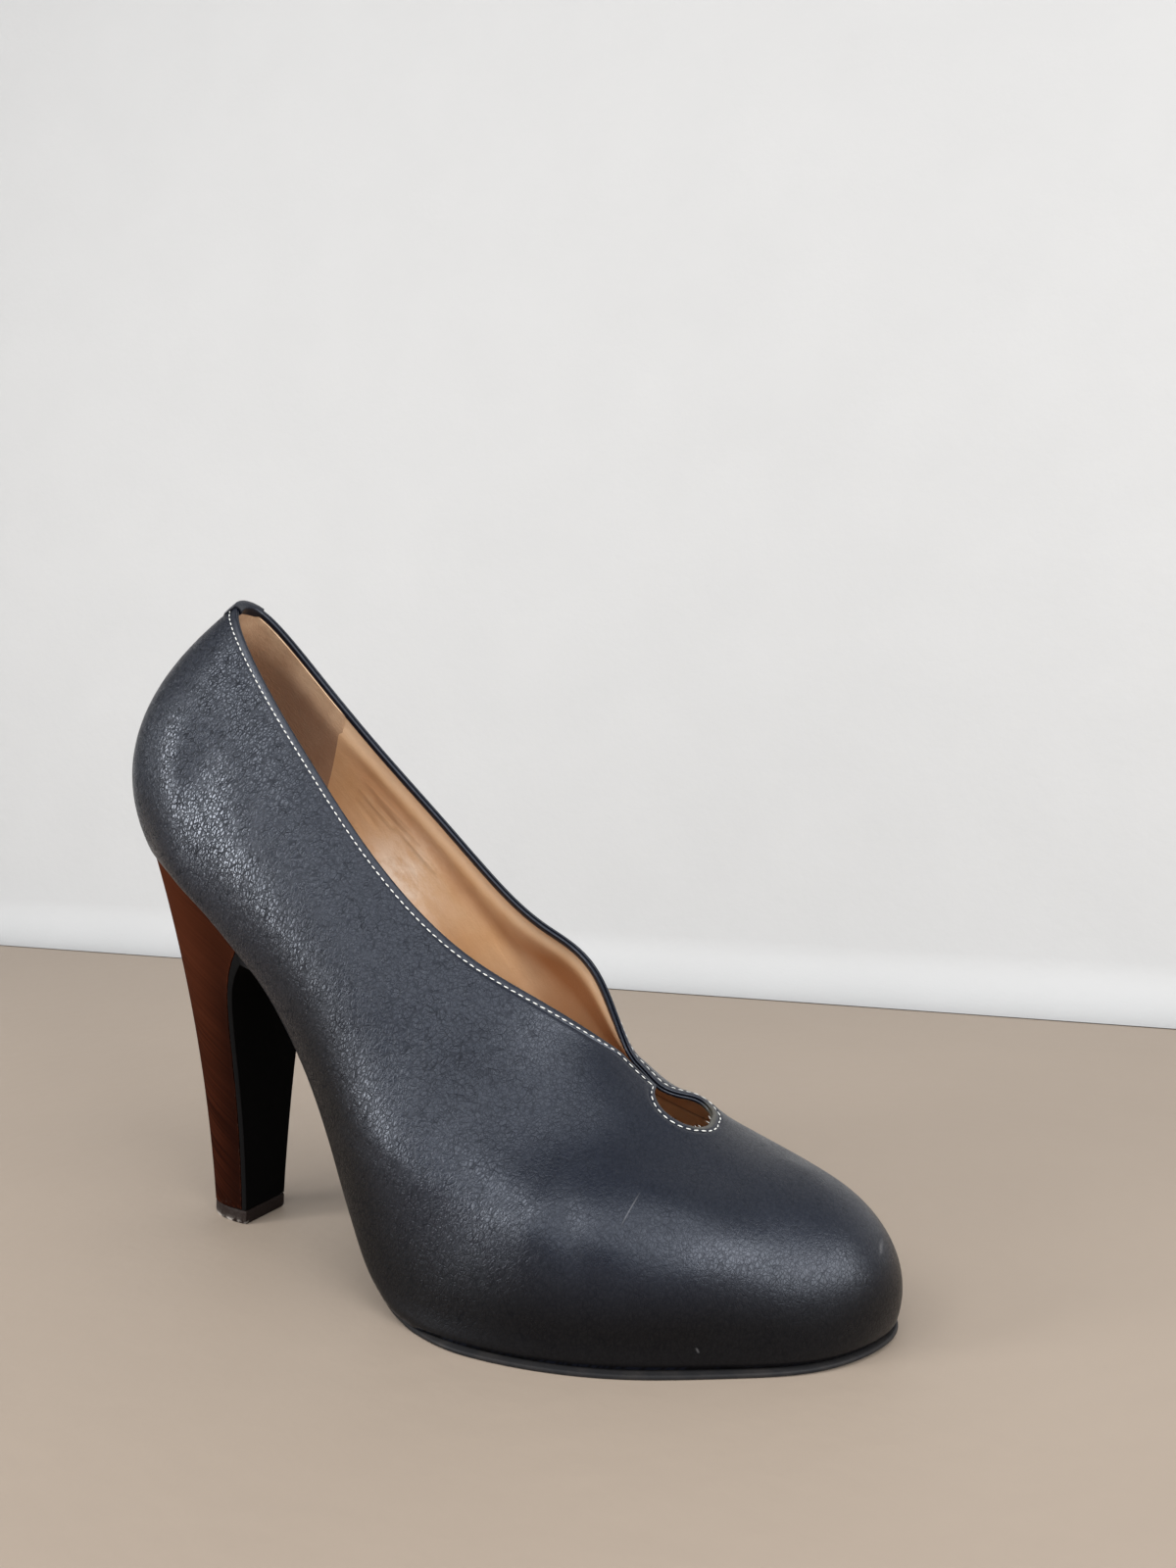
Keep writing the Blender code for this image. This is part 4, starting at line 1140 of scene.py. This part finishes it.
def soleRows():
    rows = []
    levels = np.linspace(1, 0, soleSet["breastLevels"] + 1) ** 1.3
    corners = heelPoints(np.array([1.0, -1.0]), levels) + (heelSet["gap"], 0, 0)
    turnShare, turnAngle, turnThick = soleSet["flapTurn"]
    for lat, med, u in zip(*corners, levels):
        turn = max(0.0, 1 - u / turnShare)
        angle = radians(turnAngle) * turn
        step = np.array((cos(angle), 0, sin(angle))) * (heelSet["breast"] + turnThick * turn ** 2)
        rows.append((lat, med, step, soleSet["breastBulge"], np.array((0, -1.0, 0)), np.array((0, 1.0, 0))))
    s = spaced([(breastS + 6.5, knots[8], 70), (knots[8], knots[10], 40), (knots[10], toeS, 90)])
    lat, med = footAt(s), footAt(-s)
    latOut, medOut = planOut(s), planOut(-s)
    x = lat[:, 0]
    fall = fallOf(formTable["feather"], x)
    down = unit(np.column_stack((fall, np.zeros(len(s)), -np.ones(len(s)))))
    share = easeStep(x, -51, -21)
    reach = -soleSet["waistInset"] * (1 - share) + soleSet["lip"] * (share - 0.7 * easeStep(x, 40, 60))
    thick = np.minimum(soleSet["thick"] + 0.2 * (1 - share), lat[:, 2] - 0.27)
    bulge = soleSet["bulge"] * (0.4 + 0.6 * share)
    lat, med = (edge + out * reach[:, None] + down * soleSet["gap"]
                for edge, out in ((lat, latOut), (med, medOut)))
    return rows + list(zip(lat, med, down * thick[:, None], bulge, latOut, medOut))


def buildSole(material):
    across, bead = soleSet["across"], soleSet["bead"]
    w = (np.arange(across + 1) / across)[:, None]
    angles = (np.arange(1, bead) / bead * pi)[:, None]
    face = np.repeat((0.0, 0.0, 1.0, 0.0), (across + 1, bead - 1, across + 1, bead - 1))
    rings = []
    paints = {"tread": [], "wear": [], "breast": []}
    for i, (lat, med, step, bulge, latOut, medOut) in enumerate(soleRows()):
        onBreast = i <= soleSet["breastLevels"]
        top = lat * (1 - w) + med * w
        bottom = (med + step) * (1 - w) + (lat + step) * w
        medBead = med + step * (1 - np.cos(angles)) / 2 + medOut * bulge * np.sin(angles)
        latBead = lat + step * (1 + np.cos(angles)) / 2 + latOut * bulge * np.sin(angles)
        rings.append(np.concatenate((top, medBead, bottom, latBead)))
        waist = 1 - easeStep(lat[0], -58, -44)
        edgeWear = 0.05 if onBreast else 0.1 * (1 - waist)
        paints["tread"].append(face * (1 - waist))
        paints["wear"].append(face * bump(lat[0] - 4, 26) * 0.9 + (1 - face) * edgeWear)
        paints["breast"].append(np.maximum(face * waist, 0.82 * onBreast))
    bm = bmesh.new()
    paints = {name: closeRings(np.array(rows)) for name, rows in paints.items()}
    laySheet(bm, closeRings(np.array(rings)), **paints)
    closeEnds(bm)
    finishPiece(bm, "soleSheet", material, ["outsole"], 45)


buildSole(makeSole())


# floor, wall behind, light and camera
stageSet = {"floor": (0.28, 0.227, 0.18), "floorHalf": 1.8, "wall": (0.37, 0.371, 0.371),
            "wallStart": (-0.62, 0.36), "wallEnd": (0.75, 0.52), "wallPast": 0.8, "wallHeight": 1.6,
            "sweep": 0.03, "room": (0.93, 0.96, 1.0), "roomStrength": 0.34, "lampsFace": (-0.03, 0.0, 0.06)}
lights = [
    # name, azimuth, elevation, distance, width, height, power
    ("windowLeft", -136, 14, 1.25, 0.32, 0.7, 12.0),
    ("windowHigh", -122, 44, 1.3, 0.45, 0.45, 3.6),
    ("windowRight", -16, 19, 1.2, 1.1, 0.62, 14.5),
    ("frontSoft", -72, 42, 1.5, 2.3, 1.9, 29.0),
    ("overhead", -20, 66, 1.4, 1.7, 1.2, 2.0),
]
cameraSet = {"at": (0.10148, -0.26822, 0.12375), "turn": 23.366, "pitch": 0.072, "roll": 1.088,
             "focalPixels": 1196.2, "imageHeight": 1600, "sensor": 36.0}


def stageMaterial(name, colour, scale):
    material, tree, shader, plain = newMaterial(name)
    paler = tuple(min(1.0, c * 1.06) for c in colour)
    tone = mixColour(tree, noiseFrom(tree, plain, scale, 4.0), colour, paler)
    fillInputs(tree, shader, {"Base Color": tone, "Roughness": 0.65,
                              "Normal": bumpOf(tree, noiseFrom(tree, plain, scale * 8, 3.0), 0.1, 0.002)})
    return material


def buildStage():
    bm = bmesh.new()
    bmesh.ops.create_grid(bm, x_segments=8, y_segments=8, size=stageSet["floorHalf"])
    floor = makeObject(bm, "paleFloor", stageMaterial("pale_floor", stageSet["floor"], 14.0))
    start, end = np.array(stageSet["wallStart"]), np.array(stageSet["wallEnd"])
    along = unit(end - start)
    back = np.array((-along[1], along[0]))
    radius, past = stageSet["sweep"], along * stageSet["wallPast"]
    profile = [(0.0, stageSet["wallHeight"])] + [(-radius * (1 - cos(a)), radius * (1 - sin(a)) + 0.0005)
                                                 for a in np.linspace(0, pi / 2, 10)]
    points = np.array([[(*(p + back * deep), z) for deep, z in profile]
                       for p in (start - past, start, end, end + past)])
    bm = bmesh.new()
    laySheet(bm, points / mm)
    bmesh.ops.recalc_face_normals(bm, faces=bm.faces[:])
    wall = makeObject(bm, "paleWall", stageMaterial("pale_wall", stageSet["wall"], 20.0))
    wall.data.shade_smooth()


def buildLights():
    target = Vector(stageSet["lampsFace"])
    for name, azimuth, elevation, distance, width, height, power in lights:
        lamp = bpy.data.lights.new(name, "AREA")
        lamp.shape = "RECTANGLE"
        lamp.size, lamp.size_y = width, height
        lamp.energy = power
        az, el = radians(azimuth), radians(elevation)
        where = target + distance * Vector((cos(el) * cos(az), cos(el) * sin(az), sin(el)))
        item = bpy.data.objects.new(name, lamp)
        item.location = where
        item.rotation_euler = (target - where).to_track_quat("-Z", "Y").to_euler()
        bpy.context.scene.collection.objects.link(item)
    world = bpy.data.worlds.new("softRoom")
    world.use_nodes = True
    fillInputs(world.node_tree, world.node_tree.nodes["Background"],
               {"Color": (*stageSet["room"], 1.0), "Strength": stageSet["roomStrength"]})
    bpy.context.scene.world = world


def buildCamera():
    turn, pitch, roll = (radians(cameraSet[k]) for k in ("turn", "pitch", "roll"))
    right = Vector((cos(turn), sin(turn), 0))
    level = Vector((-sin(turn), cos(turn), 0))
    forward = level * cos(pitch) - Vector((0, 0, sin(pitch)))
    up = level * sin(pitch) + Vector((0, 0, cos(pitch)))
    camRight = right * cos(roll) + up * sin(roll)
    camUp = up * cos(roll) - right * sin(roll)
    data = bpy.data.cameras.new("photoView")
    data.sensor_width = cameraSet["sensor"]
    data.lens = cameraSet["focalPixels"] / cameraSet["imageHeight"] * cameraSet["sensor"]
    data.clip_start = 0.01
    item = bpy.data.objects.new("photoView", data)
    axes = Matrix((camRight, camUp, -forward)).transposed()
    item.matrix_world = Matrix.Translation(Vector(cameraSet["at"])) @ axes.to_4x4()
    bpy.context.scene.collection.objects.link(item)
    bpy.context.scene.camera = item


buildStage()
buildLights()
buildCamera()
bpy.context.scene.view_settings.view_transform = "Standard"
